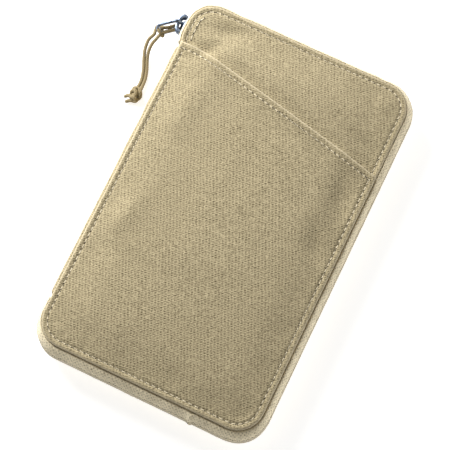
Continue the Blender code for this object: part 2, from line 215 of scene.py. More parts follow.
def skin(name, rings, finish, cyclic=False):
    """A closed surface over rings of points, each ring a closed section."""
    rings = np.asarray(rings, float)
    count, size = rings.shape[:2]
    index = np.arange(count * size).reshape(count, size)
    u = np.concatenate([running_length(rings.mean(1)), [0]])
    u[count] = u[count - 1] + np.linalg.norm(rings[0].mean(0) - rings[-1].mean(0))
    v = running_length(np.vstack([rings[count // 2], rings[count // 2][:1]]))
    faces = []
    uvs = []
    for i in range(count if cyclic else count - 1):
        after = index[(i + 1) % count]
        for j in range(size):
            k = (j + 1) % size
            faces.append((index[i, j], after[j], after[k], index[i, k]))
            uvs.append(((u[i], v[j]), (u[i + 1], v[j]), (u[i + 1], v[j + 1]), (u[i], v[j + 1])))
    if not cyclic:
        faces += [tuple(index[0]), tuple(index[-1][::-1])]
        uvs += [[(u[0], w) for w in v[:-1]], [(u[count - 1], w) for w in v[:-1][::-1]]]
    return add_mesh(name, rings.reshape(-1, 3), faces, finish, uvs)


def frames_along(points, cyclic):
    """Two directions across a line of points at each of them, turning as little as they can."""
    ahead = np.roll(points, -1, 0) - points
    behind = points - np.roll(points, 1, 0)
    if not cyclic:
        ahead[-1] = behind[-1]
        behind[0] = ahead[0]
    tangents = ahead + behind
    tangents /= np.linalg.norm(tangents, axis=1)[:, None]
    first = np.cross(tangents[0], (0.3, 0.2, 1.0))
    sides = [first / np.linalg.norm(first)]
    for tangent in tangents[1:]:
        side = sides[-1] - tangent * np.dot(sides[-1], tangent)
        sides.append(side / np.linalg.norm(side))
    sides = np.array(sides)
    return sides, np.cross(tangents, sides)


def tube(name, points, radius, finish, sides, cyclic=False, round_ends=False):
    """A round tube along points. radius is a number, or one for each point and side."""
    points = np.asarray(points, float)
    across, up = frames_along(points, cyclic)
    angles = np.linspace(0, TURN, sides, endpoint=False)
    radii = np.broadcast_to(radius, (len(points), sides)).copy()
    if round_ends:
        along = running_length(points)
        left = np.minimum(along, along[-1] - along)
        reach = radii.mean()
        radii *= np.sqrt(np.clip(1 - (1 - np.clip(left / reach, 0.02, 1)) ** 2, 0, 1))[:, None]
    rings = (points[:, None] + radii[..., None] * np.cos(angles)[:, None] * across[:, None]
             + radii[..., None] * np.sin(angles)[:, None] * up[:, None])
    return skin(name, rings, finish, cyclic)


# ---------------------------------------------------------------- the panels' outline

def edge_inset(x, y):
    """How far inside the panels' outline a point is."""
    qx = np.abs(x) - STRAIGHT_X
    qy = np.abs(y) - STRAIGHT_Y
    outside = np.hypot(np.maximum(qx, 0), np.maximum(qy, 0))
    return CORNER_RADIUS - outside - np.minimum(np.maximum(qx, qy), 0)


def along_edge(x, y):
    """Distance round the stitch line of the nearest point on it."""
    core_x = np.clip(x, -STRAIGHT_X, STRAIGHT_X)
    core_y = np.clip(y, -STRAIGHT_Y, STRAIGHT_Y)
    inside = (np.abs(x) < STRAIGHT_X) & (np.abs(y) < STRAIGHT_Y)
    to_side = HALF_WIDTH - np.abs(x) < HALF_LENGTH - np.abs(y)
    dx = np.where(inside, np.where(to_side, np.sign(x), 0), x - core_x)
    dy = np.where(inside, np.where(to_side, 0, np.sign(y)), y - core_y)
    angle = np.arctan2(dy, dx) % TURN
    quarter = np.floor(angle / (math.pi / 2) + 1e-9).astype(int) % 4
    wide = 2 * STRAIGHT_X
    high = 2 * STRAIGHT_Y
    straight = np.choose(quarter, (
        np.where(dy > 1e-12, high, core_y + STRAIGHT_Y),
        np.where(dx < -1e-12, high + wide, high + STRAIGHT_X - core_x),
        np.where(dy < -1e-12, 2 * high + wide, high + wide + STRAIGHT_Y - core_y),
        np.where(dx > 1e-12, 2 * (high + wide), 2 * high + wide + STRAIGHT_X + core_x),
    ))
    return straight + (CORNER_RADIUS - STITCH_INSET) * angle


def mouth_y(x):
    """Height up the panel of the slip pocket's mouth."""
    bend = 3 * MM
    over = np.asarray(x) - MOUTH_BEND_X
    eased = np.where(over > bend, over, np.maximum(over + bend, 0) ** 2 / (4 * bend))
    return MOUTH_LEVEL_Y + MOUTH_SLOPE * eased


def below_mouth(x, y):
    """Distance down from the slip pocket's mouth, square to it."""
    return (mouth_y(x) - y) / math.hypot(1, MOUTH_SLOPE)


def panel_grid(inset, spacing, top=None, corner_steps=24):
    """Points inside the panels' outline, drawn in by inset: rows from the bottom up, each from left to right.

    top gives the height that the rows end at for an x, in place of the outline's own top.
    """
    radius = CORNER_RADIUS - inset
    corner = STRAIGHT_X + radius * np.sin(np.linspace(0, math.pi / 2, corner_steps + 1))
    x = np.concatenate([-corner[:0:-1], spread(-STRAIGHT_X, STRAIGHT_X, spacing), corner[1:]])
    over = np.maximum(np.abs(x) - STRAIGHT_X, 0)
    end = STRAIGHT_Y + np.sqrt(np.maximum(radius**2 - over**2, 0))
    high = end if top is None else top(x)
    t = spread(0, 1, spacing / (high.max() + end.max()))[:, None]
    y = -end + t * (high + end)
    return np.stack([np.broadcast_to(x, y.shape), y], 2)


def level(height):
    """A flat face for sheet_solid."""
    return lambda x, y: np.full(len(x), height)


def outward(loop):
    """Directions out of an anticlockwise loop, longer at a corner so that an offset stays square."""
    ahead = np.roll(loop, -1, 0) - loop
    ahead /= np.linalg.norm(ahead, axis=1)[:, None]
    behind = np.roll(ahead, 1, 0)
    first = np.stack([ahead[:, 1], -ahead[:, 0]], 1)
    second = np.stack([behind[:, 1], -behind[:, 0]], 1)
    return (first + second) / (1 + (first * second).sum(1))[:, None]


def sheet_solid(name, grid, inset, roll, top, bottom, finish, ring_spacing=0.5 * MM, draw_in=None):
    """A sheet of cloth with a rounded edge.

    grid holds its points down to inset from its edge, top and bottom give the heights of its faces, and roll
    is how far in the rounding starts. draw_in gives how much further in the edge is at a point.
    """
    flat = grid.reshape(-1, 2)
    index = np.arange(len(flat)).reshape(grid.shape[:2])
    edge = np.concatenate([index[0, :-1], index[:-1, -1], index[-1, :0:-1], index[:0:-1, 0]])
    loop = flat[edge]
    out = outward(loop)
    far = inset if draw_in is None else inset - draw_in(*(loop + out * inset).T)[:, None]
    turns = np.linspace(0, math.pi, 9)
    levels = [(1 - t, 0.0) for t in spread(0, 1 - roll / inset, ring_spacing / inset)[1:-1]]
    levels += [(roll / inset * (1 - math.sin(a)), (1 - math.cos(a)) / 2) for a in turns]
    places = [np.column_stack([flat, top(*flat.T)])]
    cloth = [flat]
    folds = [np.zeros(len(flat))]
    for left, turned in levels:
        at = loop + out * far * (1 - left)
        places.append(np.column_stack([at, top(*at.T) * (1 - turned) + bottom(*at.T) * turned]))
        cloth.append(at + out * turned * roll)
        # The rolled edge's mask, which the canvas material turns into a painted highlight
        folds.append(np.full(len(at), 1 - smooth(inset * left, 0.3 * MM, 1.1 * MM)))
    places.append(np.column_stack([flat, bottom(*flat.T)]))
    cloth = np.concatenate(cloth + [flat])
    folds = np.concatenate(folds + [np.zeros(len(flat))])
    base = len(flat) + len(levels) * len(edge)
    starts = len(flat) + np.arange(len(levels))[:, None] * len(edge)
    rings = [edge, *(starts + np.arange(len(edge))), base + edge]
    strips = [strip_faces(ring, after) for ring, after in zip(rings, rings[1:])]
    faces = np.concatenate([grid_faces(index), *strips, grid_faces(base + index)[:, ::-1]])
    sheet = add_mesh(name, np.concatenate(places), faces.tolist(), finish, cloth[faces])
    # The fold attribute carries the mask of the canvas's painted highlight along its rolled edge
    sheet.data.attributes.new("fold", "FLOAT", "POINT").data.foreach_set("value", folds)
    return sheet


def grid_faces(index):
    corners = (index[:-1, :-1], index[:-1, 1:], index[1:, 1:], index[1:, :-1])
    return np.stack([c.ravel() for c in corners], 1)


def strip_faces(ring, after):
    return np.stack([ring, after, np.roll(after, -1), np.roll(ring, -1)], 1)


# ---------------------------------------------------------------- stitches

def stitch_row(name, line, thread=THREAD, sink=0.3 * MM, up=(0, 0, 1)):
    """Lockstitches along a line of points on the cloth, each going down into a needle hole at both ends."""
    line = np.asarray(line, float)
    length = running_length(line)[-1]
    count = max(1, round(length / PITCH))
    pitch = length / count
    share = np.linspace(0, 1, STITCH_SAMPLES)
    places = (np.arange(count)[:, None] * pitch + pitch * (0.01 + 0.98 * share)).ravel()
    centre = resample(line, places)
    tangent = resample(line, places + 0.05 * MM) - centre
    tangent[-1] = tangent[-2]
    ups = nearest_up(line, up, centre) if np.ndim(up) > 1 else np.tile(np.array(up, float), (len(centre), 1))
    side = np.cross(tangent, ups)
    side /= np.linalg.norm(side, axis=1)[:, None]
    t = np.tile(share, count)
    middle = np.sin(math.pi * t) ** 0.6
    hole = np.exp(-((0.5 - np.abs(t - 0.5)) / 0.2) ** 2)
    height = (sink * 0.5 + STITCH_RISE) * middle - sink * 0.5
    centre = centre + ups * height[:, None] + side * (STITCH_SLANT * (t - 0.5))[:, None]
    closing = np.where((t < 0.01) | (t > 0.99), 0.4, 1.0)
    wide = thread / 2 * (0.95 + 0.9 * hole) * closing
    high = thread / 2 * (0.75 + 0.1 * hole) * closing
    angles = np.linspace(0, TURN, STITCH_SIDES, endpoint=False)
    rings = (centre[:, None] + wide[:, None, None] * np.cos(angles)[:, None] * side[:, None]
             + high[:, None, None] * np.sin(angles)[:, None] * ups[:, None])
    index = np.arange(count * STITCH_SAMPLES * STITCH_SIDES).reshape(count, STITCH_SAMPLES, STITCH_SIDES)
    first, after = index[:, :-1], index[:, 1:]
    quads = np.stack([first, after, np.roll(after, -1, 2), np.roll(first, -1, 2)], 3).reshape(-1, 4)
    faces = quads.tolist() + index[:, 0].tolist() + index[:, -1, ::-1].tolist()
    # The distance from each stitch's middle, which the thread's material turns into painted shade at both
    # ends
    from_middle = np.repeat(np.abs(t - 0.5) * pitch, STITCH_SIDES)
    uvs = [[(from_middle[corner], 0.0) for corner in face] for face in faces]
    return add_mesh(name, rings.reshape(-1, 3), faces, SEWING, uvs)


def nearest_up(line, up, centre):
    """The direction out of the cloth at each centre, from those at the line's points."""
    nearest = np.linalg.norm(centre[:, None, :] - line[None, ::4, :], axis=2).argmin(1) * 4
    return up[nearest] / np.linalg.norm(up[nearest], axis=1)[:, None]


# ---------------------------------------------------------------- materials

# The slant of the canvas's columns, their pitch in pairs, and the pitch of its picks
WEAVE_SIN = math.sin(math.radians(25))
WEAVE_COS = math.cos(math.radians(25))
COLUMN_PITCH = 3.4 * MM
PICK_PITCH = 1.25 * MM
LINING_GRID = 4 * MM
BRAID_STRANDS = 4
BRAID_PITCH = 1.3 * MM


class Value:
    """What a shader node gives. Arithmetic with it adds further nodes."""

    def __init__(self, nodes, socket):
        self.nodes = nodes
        self.socket = socket

    def __add__(self, other):
        return self.nodes.math("ADD", self, other)

    def __sub__(self, other):
        return self.nodes.math("SUBTRACT", self, other)

    def __mul__(self, other):
        return self.nodes.math("MULTIPLY", self, other)

    def __pow__(self, other):
        return self.nodes.math("POWER", self, other)

    def clamped(self):
        """This value, kept between 0 and 1."""
        self.socket.node.use_clamp = True
        return self

    def wave(self):
        """A wave from 0 to 1 with one crest for each whole number of this value."""
        return self.nodes.math("COSINE", self * TURN) * 0.5 + 0.5


class Nodes:
    """A tree of shader nodes."""

    def __init__(self, tree):
        self.tree = tree

    def node(self, kind, **settings):
        made = self.tree.nodes.new(kind)
        for key, value in settings.items():
            setattr(made, key, value)
        return made

    def feed(self, source, target):
        if isinstance(source, Value):
            self.tree.links.new(source.socket, target)
        else:
            target.default_value = source

    def math(self, operation, *values):
        made = self.node("ShaderNodeMath", operation=operation)
        for value, target in zip(values, made.inputs):
            self.feed(value, target)
        return Value(self, made.outputs[0])

    def split(self, vector):
        """The three parts of a vector socket."""
        made = self.node("ShaderNodeSeparateXYZ")
        self.tree.links.new(vector, made.inputs[0])
        return [Value(self, part) for part in made.outputs]


class Finish(Nodes):
    """A node material round one Principled shader."""

    def __init__(self, name):
        self.material = bpy.data.materials.new(name)
        self.material.use_nodes = True
        super().__init__(self.material.node_tree)
        self.shader = self.tree.nodes["Principled BSDF"]

    def set(self, **values):
        """Feeds the shader's sockets, each named with _ in place of a space."""
        for name, value in values.items():
            self.feed(value, self.shader.inputs[name.replace("_", " ")])

    def cloth(self):
        """Cloth coordinates across and along, in metres."""
        return self.split(self.node("ShaderNodeUVMap", uv_map="cloth").outputs[0])[:2]

    def noise(self, size, detail=2.0, roughness=0.5):
        """Noise from 0 to 1 whose lumps are about size across, in the object's own coordinates."""
        made = self.node("ShaderNodeTexNoise")
        self.tree.links.new(self.node("ShaderNodeTexCoord").outputs["Object"], made.inputs["Vector"])
        for name, value in (("Scale", 1 / size), ("Detail", detail), ("Roughness", roughness)):
            made.inputs[name].default_value = value
        return Value(self, made.outputs["Fac"])

    def mix(self, factor, low, high):
        """low where factor is 0 and high where it is 1, each a colour or a Value."""
        made = self.node("ShaderNodeMix", data_type="RGBA")
        self.feed(factor, made.inputs["Factor"])
        for colour, target in ((low, made.inputs[6]), (high, made.inputs[7])):
            self.feed((*colour, 1) if isinstance(colour, tuple) else colour, target)
        return Value(self, made.outputs[2])

    def bump(self, height, distance):
        made = self.node("ShaderNodeBump")
        made.inputs["Strength"].default_value = 1.0
        made.inputs["Distance"].default_value = distance
        self.feed(height, made.inputs["Height"])
        self.tree.links.new(made.outputs[0], self.shader.inputs["Normal"])


def canvas_finish():
    """Heavy canvas: slanting columns of yarn with staggered dark hollows, and a painted highlight on its
    folded edge.
    """
    finish = Finish("khaki_canvas")
    across, along = finish.cloth()
    drift = finish.noise(9 * MM) * 0.4 - 0.2
    column = (along * WEAVE_SIN + across * WEAVE_COS) * (1 / COLUMN_PITCH) + drift
    row = (along * WEAVE_COS - across * WEAVE_SIN) * (1 / PICK_PITCH) + drift
    checks = (column.wave() * 2 - 1) * (row.wave() * 2 - 1) * 0.4 + 0.3
    waffle = ((column * 2).wave() * 0.35 + checks).clamped()
    patchy = (finish.noise(2.6 * MM, 1.0) * 0.9 + 0.3).clamped()
    pits = waffle**1.6 * patchy
    specks = finish.noise(0.8 * MM, 1.0, 0.6)
    shade = (pits * 0.68 + specks * 1.4 - 0.47).clamped()
    worn = (finish.noise(24 * MM, 3.0) * 0.8 - 0.15).clamped()
    yarn = finish.mix(worn, (0.56, 0.47, 0.29), (0.48, 0.40, 0.24))
    woven = finish.mix(shade, yarn, (0.115, 0.088, 0.04))
    # Painted highlight: the canvas is mixed towards a pale tone along its rolled edge, by the fold mask
    fold = Value(finish, finish.node("ShaderNodeAttribute", attribute_name="fold").outputs["Fac"])
    finish.set(Base_Color=finish.mix(fold * 0.6, woven, (0.62, 0.53, 0.36)), Roughness=shade * 0.12 + 0.8,
               Sheen_Weight=0.12, Sheen_Roughness=0.6, Specular_IOR_Level=0.2)
    finish.bump(specks * -0.6 - pits, 0.2 * MM)
    return finish.material


def weave_finish(name, light, dark, pitch, depth):
    """Finer plain weave, for the edge bands, bindings and tapes."""
    finish = Finish(name)
    across, along = finish.cloth()
    drift = finish.noise(4 * MM) * 0.4 - 0.2
    warp = across * (1 / pitch) + drift
    weft = along * (1 / pitch) + drift
    hollow = ((warp + weft) * 0.5).wave() * ((warp - weft) * 0.5).wave()
    uneven = (finish.noise(1.3 * MM, 1.0) * 2.2 - 0.4).clamped()
    pits = hollow**1.2 * uneven
    fuzz = finish.noise(0.9 * MM, 2.0, 0.7)
    shade = (pits * 0.7 + fuzz * 1.28 - 0.56).clamped()
    blotches = (finish.noise(7 * MM) * 1.6 - 0.6).clamped()
    soiled = (blotches * 0.35 + shade).clamped()
    finish.set(Base_Color=finish.mix(soiled, light, dark), Roughness=shade * 0.1 + 0.8, Sheen_Weight=0.2,
               Sheen_Roughness=0.6, Specular_IOR_Level=0.25)
    finish.bump(fuzz * 0.4 - pits, depth)
    return finish.material


def lining_finish():
    """Thin smooth lining with a faint grid of stronger threads."""
    finish = Finish("grey_lining")
    lines = [(way * (1 / LINING_GRID)).wave() ** 14 for way in finish.cloth()]
    fuzz = finish.noise(0.5 * MM)
    shade = (finish.math("MAXIMUM", *lines) * 0.5 + fuzz * 0.4).clamped()
    finish.set(Base_Color=finish.mix(shade, (0.2, 0.2, 0.19), (0.3, 0.3, 0.285)),
               Roughness=fuzz * 0.2 + 0.5, Sheen_Weight=0.1, Specular_IOR_Level=0.35)
    finish.bump(shade, 0.05 * MM)
    return finish.material


def mottled_finish(name, grain, light, dark, rough, depth):
    """A plain material whose colour, roughness and relief follow one noise. rough is a gain and a base."""
    finish = Finish(name)
    mottle = finish.noise(*grain)
    finish.set(Base_Color=finish.mix(mottle, light, dark), Roughness=mottle * rough[0] + rough[1])
    finish.bump(mottle, depth)
    return finish.material


def metal_finish():
    """Cast zip metal with a blue-grey lacquer, rubbed a little lighter in places."""
    finish = Finish("blue_grey_metal")
    rubbed = (finish.noise(1.8 * MM, 4.0, 0.6) * 2.4 - 0.9).clamped()
    finish.set(Base_Color=finish.mix(rubbed, (0.08, 0.105, 0.155), (0.34, 0.4, 0.5)),
               Roughness=rubbed * 0.16 + 0.28, Metallic=0.85, Specular_IOR_Level=0.5)
    finish.bump(finish.noise(0.9 * MM, 3.0), 0.03 * MM)
    return finish.material


def cord_finish():
    """Braided cord: two sets of slanting strands that cross."""
    finish = Finish("khaki_cord")
    along, around = finish.cloth()
    turn = around * (BRAID_STRANDS / (math.pi * CORD))
    step = along * (1 / BRAID_PITCH)
    braid = finish.math("MAXIMUM", (step + turn).wave(), (step - turn).wave())
    fuzz = finish.noise(0.35 * MM)
    light = (braid * 0.6 + fuzz * 0.5).clamped()
    finish.set(Base_Color=finish.mix(light, (0.12, 0.088, 0.042), (0.36, 0.29, 0.165)),
               Roughness=fuzz * 0.2 + 0.65, Specular_IOR_Level=0.15)
    finish.bump(braid, 0.12 * MM)
    return finish.material


def thread_finish():
    """Twisted thread, with painted shade at both ends of a stitch, where it goes down through the cloth."""
    finish = Finish("khaki_thread")
    twist = finish.noise(0.3 * MM)
    from_middle, _ = finish.cloth()
    # Painted shade of the needle holes: the thread's colour goes almost black over the last part of each
    # stitch
    hole_shade = (from_middle * (1 / (0.4 * MM)) - 0.85 / 0.4).clamped()
    thread = finish.mix(twist, (0.85, 0.76, 0.56), (0.6, 0.51, 0.34))
    finish.set(Base_Color=finish.mix(hole_shade, thread, (0.045, 0.034, 0.016)), Roughness=twist * 0.2 + 0.5)
    finish.bump(twist, 0.05 * MM)
    return finish.material


def floor_finish():
    finish = Finish("pale_floor")
    colour = finish.mix(finish.noise(60 * MM), (0.72, 0.72, 0.715), (0.7, 0.7, 0.695))
    finish.set(Base_Color=colour, Roughness=0.9, Specular_IOR_Level=0.1, Emission_Color=(1, 1, 1, 1),
               Emission_Strength=0.7)
    return finish.material


CANVAS = canvas_finish()
WEAVE = weave_finish("khaki_plain_weave", (0.92, 0.81, 0.57), (0.22, 0.17, 0.085), 1 * MM, 0.12 * MM)
TAPE = weave_finish("khaki_tape", (0.5, 0.43, 0.29), (0.26, 0.21, 0.12), 0.6 * MM, 0.06 * MM)
LINING = lining_finish()
FOAM = mottled_finish("padding_foam", (0.8 * MM, 3.0, 0.8), (0.62, 0.6, 0.54), (0.46, 0.44, 0.39),
                      (0.1, 0.88), 0.2 * MM)
NYLON = mottled_finish("zip_nylon", (0.7 * MM, 2.0, 0.5), (0.4, 0.335, 0.21), (0.3, 0.25, 0.15),
                       (0.25, 0.3), 0.03 * MM)
METAL = metal_finish()
YARN = cord_finish()
SEWING = thread_finish()


# ---------------------------------------------------------------- relief of the padded panels

STITCH_GROOVE = 0.4 * MM
NEEDLE_HOLE = 0.3 * MM
CROWN = 1.7 * MM
SIMULATED_LIFT = 0.8 * MM
SIMULATED_FRAMES = 20
SOFT_DIPS = (
    # x, y, half length, half width, heading in degrees, depth; all but the heading in millimetres
    (-44, 88, 12, 4.5, 20, 1.7),
    (-46, 77, 9, 4, 50, 1.5),
    (42, 65, 14, 5, -20, 1.2),
    (44, 84, 12, 6, -70, 1.1),
    (50, 32, 13, 6, -80, 1.7),
    (48, 5, 9, 4, -60, 1.3),
    (-50, -86, 9, 6, 40, 0.6),
    (50, -88, 10, 6, -40, 0.8),
    (-47, -24, 13, 6, 80, -1.3),
    (-45, 40, 20, 8, 80, -1.0),
)


def simulated_lift():
    """Heights of the front canvas, pressed out by its padding inside the stitches, from a simulation."""
    x = spread(-HALF_WIDTH, HALF_WIDTH, 2.5 * MM)
    y = spread(-HALF_LENGTH, HALF_LENGTH, 2.5 * MM)
    grid = np.stack(np.meshgrid(x, y), 2).reshape(-1, 2)
    index = np.arange(len(grid)).reshape(len(y), len(x))
    mesh = bpy.data.meshes.new("cloth_under_test")
    uneven = 0.15 * MM * soft_noise(grid[:, 0], grid[:, 1], 9 * MM, 5)
    mesh.from_pydata(np.column_stack([grid, uneven]).tolist(), [], grid_faces(index).tolist())
    cloth = link(bpy.data.objects.new("cloth_under_test", mesh))
    held = cloth.vertex_groups.new(name="sewn")
    sewn = np.flatnonzero(edge_inset(grid[:, 0], grid[:, 1]) < STITCH_INSET + 1 * MM)
    held.add(sewn.tolist(), 1.0, "REPLACE")
    modifier = cloth.modifiers.new("cloth", "CLOTH")
    modifier.settings.vertex_group_mass = "sewn"
    modifier.settings.use_pressure = True
    modifier.settings.uniform_pressure_force = 2
    modifier.settings.shrink_min = -0.004
    modifier.settings.bending_stiffness = 0.3
    modifier.settings.effector_weights.gravity = 0
    modifier.collision_settings.use_collision = False
    for step in range(1, SIMULATED_FRAMES + 1):
        bpy.context.scene.frame_set(step)
    shape = cloth.evaluated_get(bpy.context.evaluated_depsgraph_get())
    places = np.array([v.co for v in shape.data.vertices])
    bpy.context.scene.frame_set(1)
    bpy.data.objects.remove(cloth)
    lift = places[:, 2].reshape(index.shape)
    return x, y, lift * SIMULATED_LIFT / max(np.abs(lift).max(), 1e-6)


LIFT = simulated_lift()


def lift_at(x, y):
    """The simulated height at a point, between those of the cloth's own points."""
    xs, ys, heights = LIFT
    u = np.clip((x - xs[0]) / (xs[1] - xs[0]), 0, len(xs) - 1.001)
    v = np.clip((y - ys[0]) / (ys[1] - ys[0]), 0, len(ys) - 1.001)
    i = u.astype(int)
    j = v.astype(int)
    return bilinear(lambda m, n: heights[j + n, i + m], u - i, v - j)


def needle_wave(along):
    """1 at each needle hole of a stitch row and 0 midway between, by the distance along it."""
    return (0.5 + 0.5 * np.cos(TURN * along / PITCH)) ** 3


def stitch_groove(beside):
    return STITCH_GROOVE * hump(beside, 0.9 * MM)


def sewn_relief(x, y):
    """The groove of the stitch line round the panels, its needle holes and the ripples they draw."""
    beside = edge_inset(x, y) - STITCH_INSET
    away = np.abs(beside)
    holes = needle_wave(along_edge(x, y))
    pits = NEEDLE_HOLE * holes * hump(beside, 0.5 * MM)
    ripple = 0.1 * MM * (holes - 0.4) * np.exp(-away / (1.8 * MM)) * smooth(away, 0, 1 * MM)
    return -stitch_groove(beside) - pits - ripple


def soft_relief(x, y, seed):
    """Broad soft waves and short creases that fade towards the stitches."""
    inset = edge_inset(x, y)
    inner = smooth(inset, STITCH_INSET, STITCH_INSET + 9 * MM)
    waves = 0.32 * soft_noise(x + 0.4 * y, y - 0.4 * x, 26 * MM, seed)
    waves += 0.16 * soft_noise(x, y, 11 * MM, seed + 1)
    near = np.exp(-(inset - STITCH_INSET) / (9 * MM)) * smooth(inset, STITCH_INSET, 6 * MM)
    puckers = 0.22 * soft_noise(along_edge(x, y), inset / 4, 5 * MM, seed + 2)
    return (waves * inner + puckers * near) * MM


def dips(x, y):
    total = 0
    for cx, cy, long, short, heading, depth in SOFT_DIPS:
        angle = math.radians(heading)
        u = (x - cx * MM) * math.cos(angle) + (y - cy * MM) * math.sin(angle)
        v = (y - cy * MM) * math.cos(angle) - (x - cx * MM) * math.sin(angle)
        total = total + depth * MM * hump(u, long * MM) * hump(v, short * MM)
    return total * smooth(edge_inset(x, y), STITCH_INSET, STITCH_INSET + 4 * MM)


def cover_relief(x, y):
    """Height of the cover's outer face over its flat level."""
    inset = edge_inset(x, y)
    crown = CROWN * smooth(inset, STITCH_INSET - 2 * MM, STITCH_INSET + 22 * MM)
    margin = 0.15 * MM * np.sin(math.pi * np.clip(inset / STITCH_INSET, 0, 1))
    return crown + margin + lift_at(x, y) + soft_relief(x, y, 11) - dips(x, y)


def pull_corner(obj):
    """Moves the cover's edge out a little at the top left corner, where the zip's end holds it."""
    mesh = obj.data
    places = np.array([v.co for v in mesh.vertices])
    share = smooth(places[:, 1], 71 * MM, 79 * MM) * smooth(-places[:, 0], 44 * MM, 58 * MM)
    share *= smooth(places[:, 2], MIDDLE + 5 * MM, MIDDLE + 7.5 * MM)
    places[:, :2] += share[:, None] * np.array((-1.8, 0.65)) * MM
    mesh.vertices.foreach_set("co", places.ravel())
    mesh.update()
    return obj


# ---------------------------------------------------------------- front and back panels, slip pocket

EDGE_BAND = 6 * MM
EDGE_ROLL = 0.8 * MM
POCKET_GAPE = 1.0 * MM
# How much longer a distance from the slanting mouth is when it is measured straight down
MOUTH_STRETCH = 1.02


def gape(x):
    """How far the slip pocket's mouth stands open, most at its middle."""
    t = np.clip((x + HALF_WIDTH) / (2 * HALF_WIDTH), 0, 1)
    return POCKET_GAPE * np.sin(math.pi * t) ** 0.7


def pocket_cover(x, y):
    """1 where the slip pocket lies over the front panel, 0 above its mouth."""
    return smooth(below_mouth(x, y), -1 * MM, 1.5 * MM)


def front_face(x, y):
    """Outer face of the front panel, pressed a little flatter under the slip pocket."""
    free = 1 - pocket_cover(x, y)
    hollow = 0.9 * MM * hump(below_mouth(x, y) + 1.5 * MM, 4.5 * MM) * smooth(edge_inset(x, y), 0, 5 * MM)
    relief = cover_relief(x, y) + sewn_relief(x, y) * (0.4 + 0.6 * free)
    return FRONT_TOP + relief - hollow - 0.25 * MM * (1 - free)


def pocket_face(x, y):
    """Outer face of the slip pocket, with the turned hem along its mouth."""
    down = below_mouth(x, y)
    hem = 0.3 * MM * (1 - smooth(down, HEM_WIDTH - 0.5 * MM, HEM_WIDTH + 0.8 * MM))
    holes = needle_wave(x + 0.2 * down)
    row = hump(down - HEM_STITCH, 0.55 * MM) * smooth(edge_inset(x, y), 2.5 * MM, 4 * MM)
    open_mouth = gape(x) * (1 - smooth(down, 0, 9 * MM))
    relief = cover_relief(x, y) + sewn_relief(x, y)
    return POCKET_HIGH + relief + hem + open_mouth - row * (0.35 + 0.4 * holes) * MM


def pocket_underside(x, y):
    """Inner face of the slip pocket, just over the front panel."""
    open_mouth = gape(x) * (1 - smooth(below_mouth(x, y), 0, 9 * MM))
    return POCKET_LOW - 0.1 * MM + cover_relief(x, y) + open_mouth


def build_front():
    grid = panel_grid(EDGE_BAND, 0.8 * MM)
    panel = sheet_solid(
        "front_canvas", grid, EDGE_BAND, EDGE_ROLL, front_face, level(FRONT_BOTTOM), CANVAS,
        draw_in=lambda x, y: 1.1 * MM * pocket_cover(x, y),
    )
    place(pull_corner(panel), "cover", "canvas", "front_panel")
    build_pocket()
    build_edge_stitches()


def build_pocket():
    drop = EDGE_BAND * math.hypot(1, MOUTH_SLOPE)
    grid = panel_grid(EDGE_BAND, 0.8 * MM, top=lambda x: mouth_y(x) - drop)
    low = POCKET_LOW - 0.9 * MM

    def underside(x, y):
        wrapped = smooth(edge_inset(x, y), 2.5 * MM, 0.6 * MM) * (1 - smooth(-below_mouth(x, y), -3 * MM, 0))
        return pocket_underside(x, y) * (1 - wrapped) + low * wrapped

    pocket = sheet_solid("slip_pocket_canvas", grid, EDGE_BAND, 1.0 * MM, pocket_face, underside, CANVAS)
    place(pull_corner(pocket), "cover", "canvas", "slip_pocket_panel")
    hem = build_hem()


def build_hem():
    """The strip turned under along the pocket's mouth, seen where the mouth stands open."""
    depths = np.linspace(1.0 * MM, HEM_WIDTH, 5)
    rings = []
    for x in spread(4 * MM - HALF_WIDTH, HALF_WIDTH - 4 * MM, 1.5 * MM):
        xs = np.full(len(depths), x)
        y = mouth_y(x) - depths * MOUTH_STRETCH
        upper = np.column_stack([xs, y, pocket_underside(xs, y) + 0.05 * MM])
        rings.append(np.vstack([upper, upper[::-1] - (0, 0, 0.45 * MM)]))
    hem = skin("slip_pocket_turned_hem", rings, CANVAS)
    return place(hem, "cover", "canvas", "slip_pocket_hem")


def closed_outline(inset, spacing):
    """Points all round the panels' outline drawn in by inset, anticlockwise from the right side's bottom."""
    radius = CORNER_RADIUS - inset
    points = []
    for turn, signs in enumerate(((1, 1), (-1, 1), (-1, -1), (1, -1))):
        run = 2 * (STRAIGHT_X if turn % 2 else STRAIGHT_Y)
        heading = turn * math.pi / 2
        angles = heading + spread(0, math.pi / 2, spacing / radius)
        corner = np.column_stack([np.cos(angles), np.sin(angles)]) * radius
        corner += np.array(signs) * (STRAIGHT_X, STRAIGHT_Y)
        ahead = np.array((-math.sin(heading), math.cos(heading)))
        straight = corner[0] - ahead * spread(0, run, spacing)[::-1, None]
        points += [straight[:-1], corner[:-1]]
    points = np.concatenate(points)
    return np.vstack([points, points[:1]])


def cover_face(x, y):
    """The cover's outermost face: the slip pocket's below its mouth, the front panel's above."""
    return np.where(below_mouth(x, y) > 0, pocket_face(x, y), front_face(x, y))


def build_edge_stitches():
    """The topstitching round the cover, its second row at the top left corner, and the hem's row."""
    loop = closed_outline(STITCH_INSET, 0.25 * MM)
    second = closed_outline(SECOND_INSET, 0.25 * MM)
    beside = (second[:, 0] < -0.8 * (HALF_WIDTH - SECOND_INSET)) & (second[:, 1] > 76 * MM)
    second = second[beside & (second[:, 1] < 91 * MM)]
    x = spread(1 * MM - HALF_WIDTH, HALF_WIDTH - 2 * MM, 0.3 * MM)
    hem = np.column_stack([x, mouth_y(x) - HEM_STITCH * MOUTH_STRETCH])
    for name, line in (("edge_stitches", loop), ("corner_stitches", second), ("hem_stitches", hem)):
        row = stitch_row(name, np.column_stack([line, cover_face(*line.T)]))
        place(pull_corner(row), "cover", "canvas")


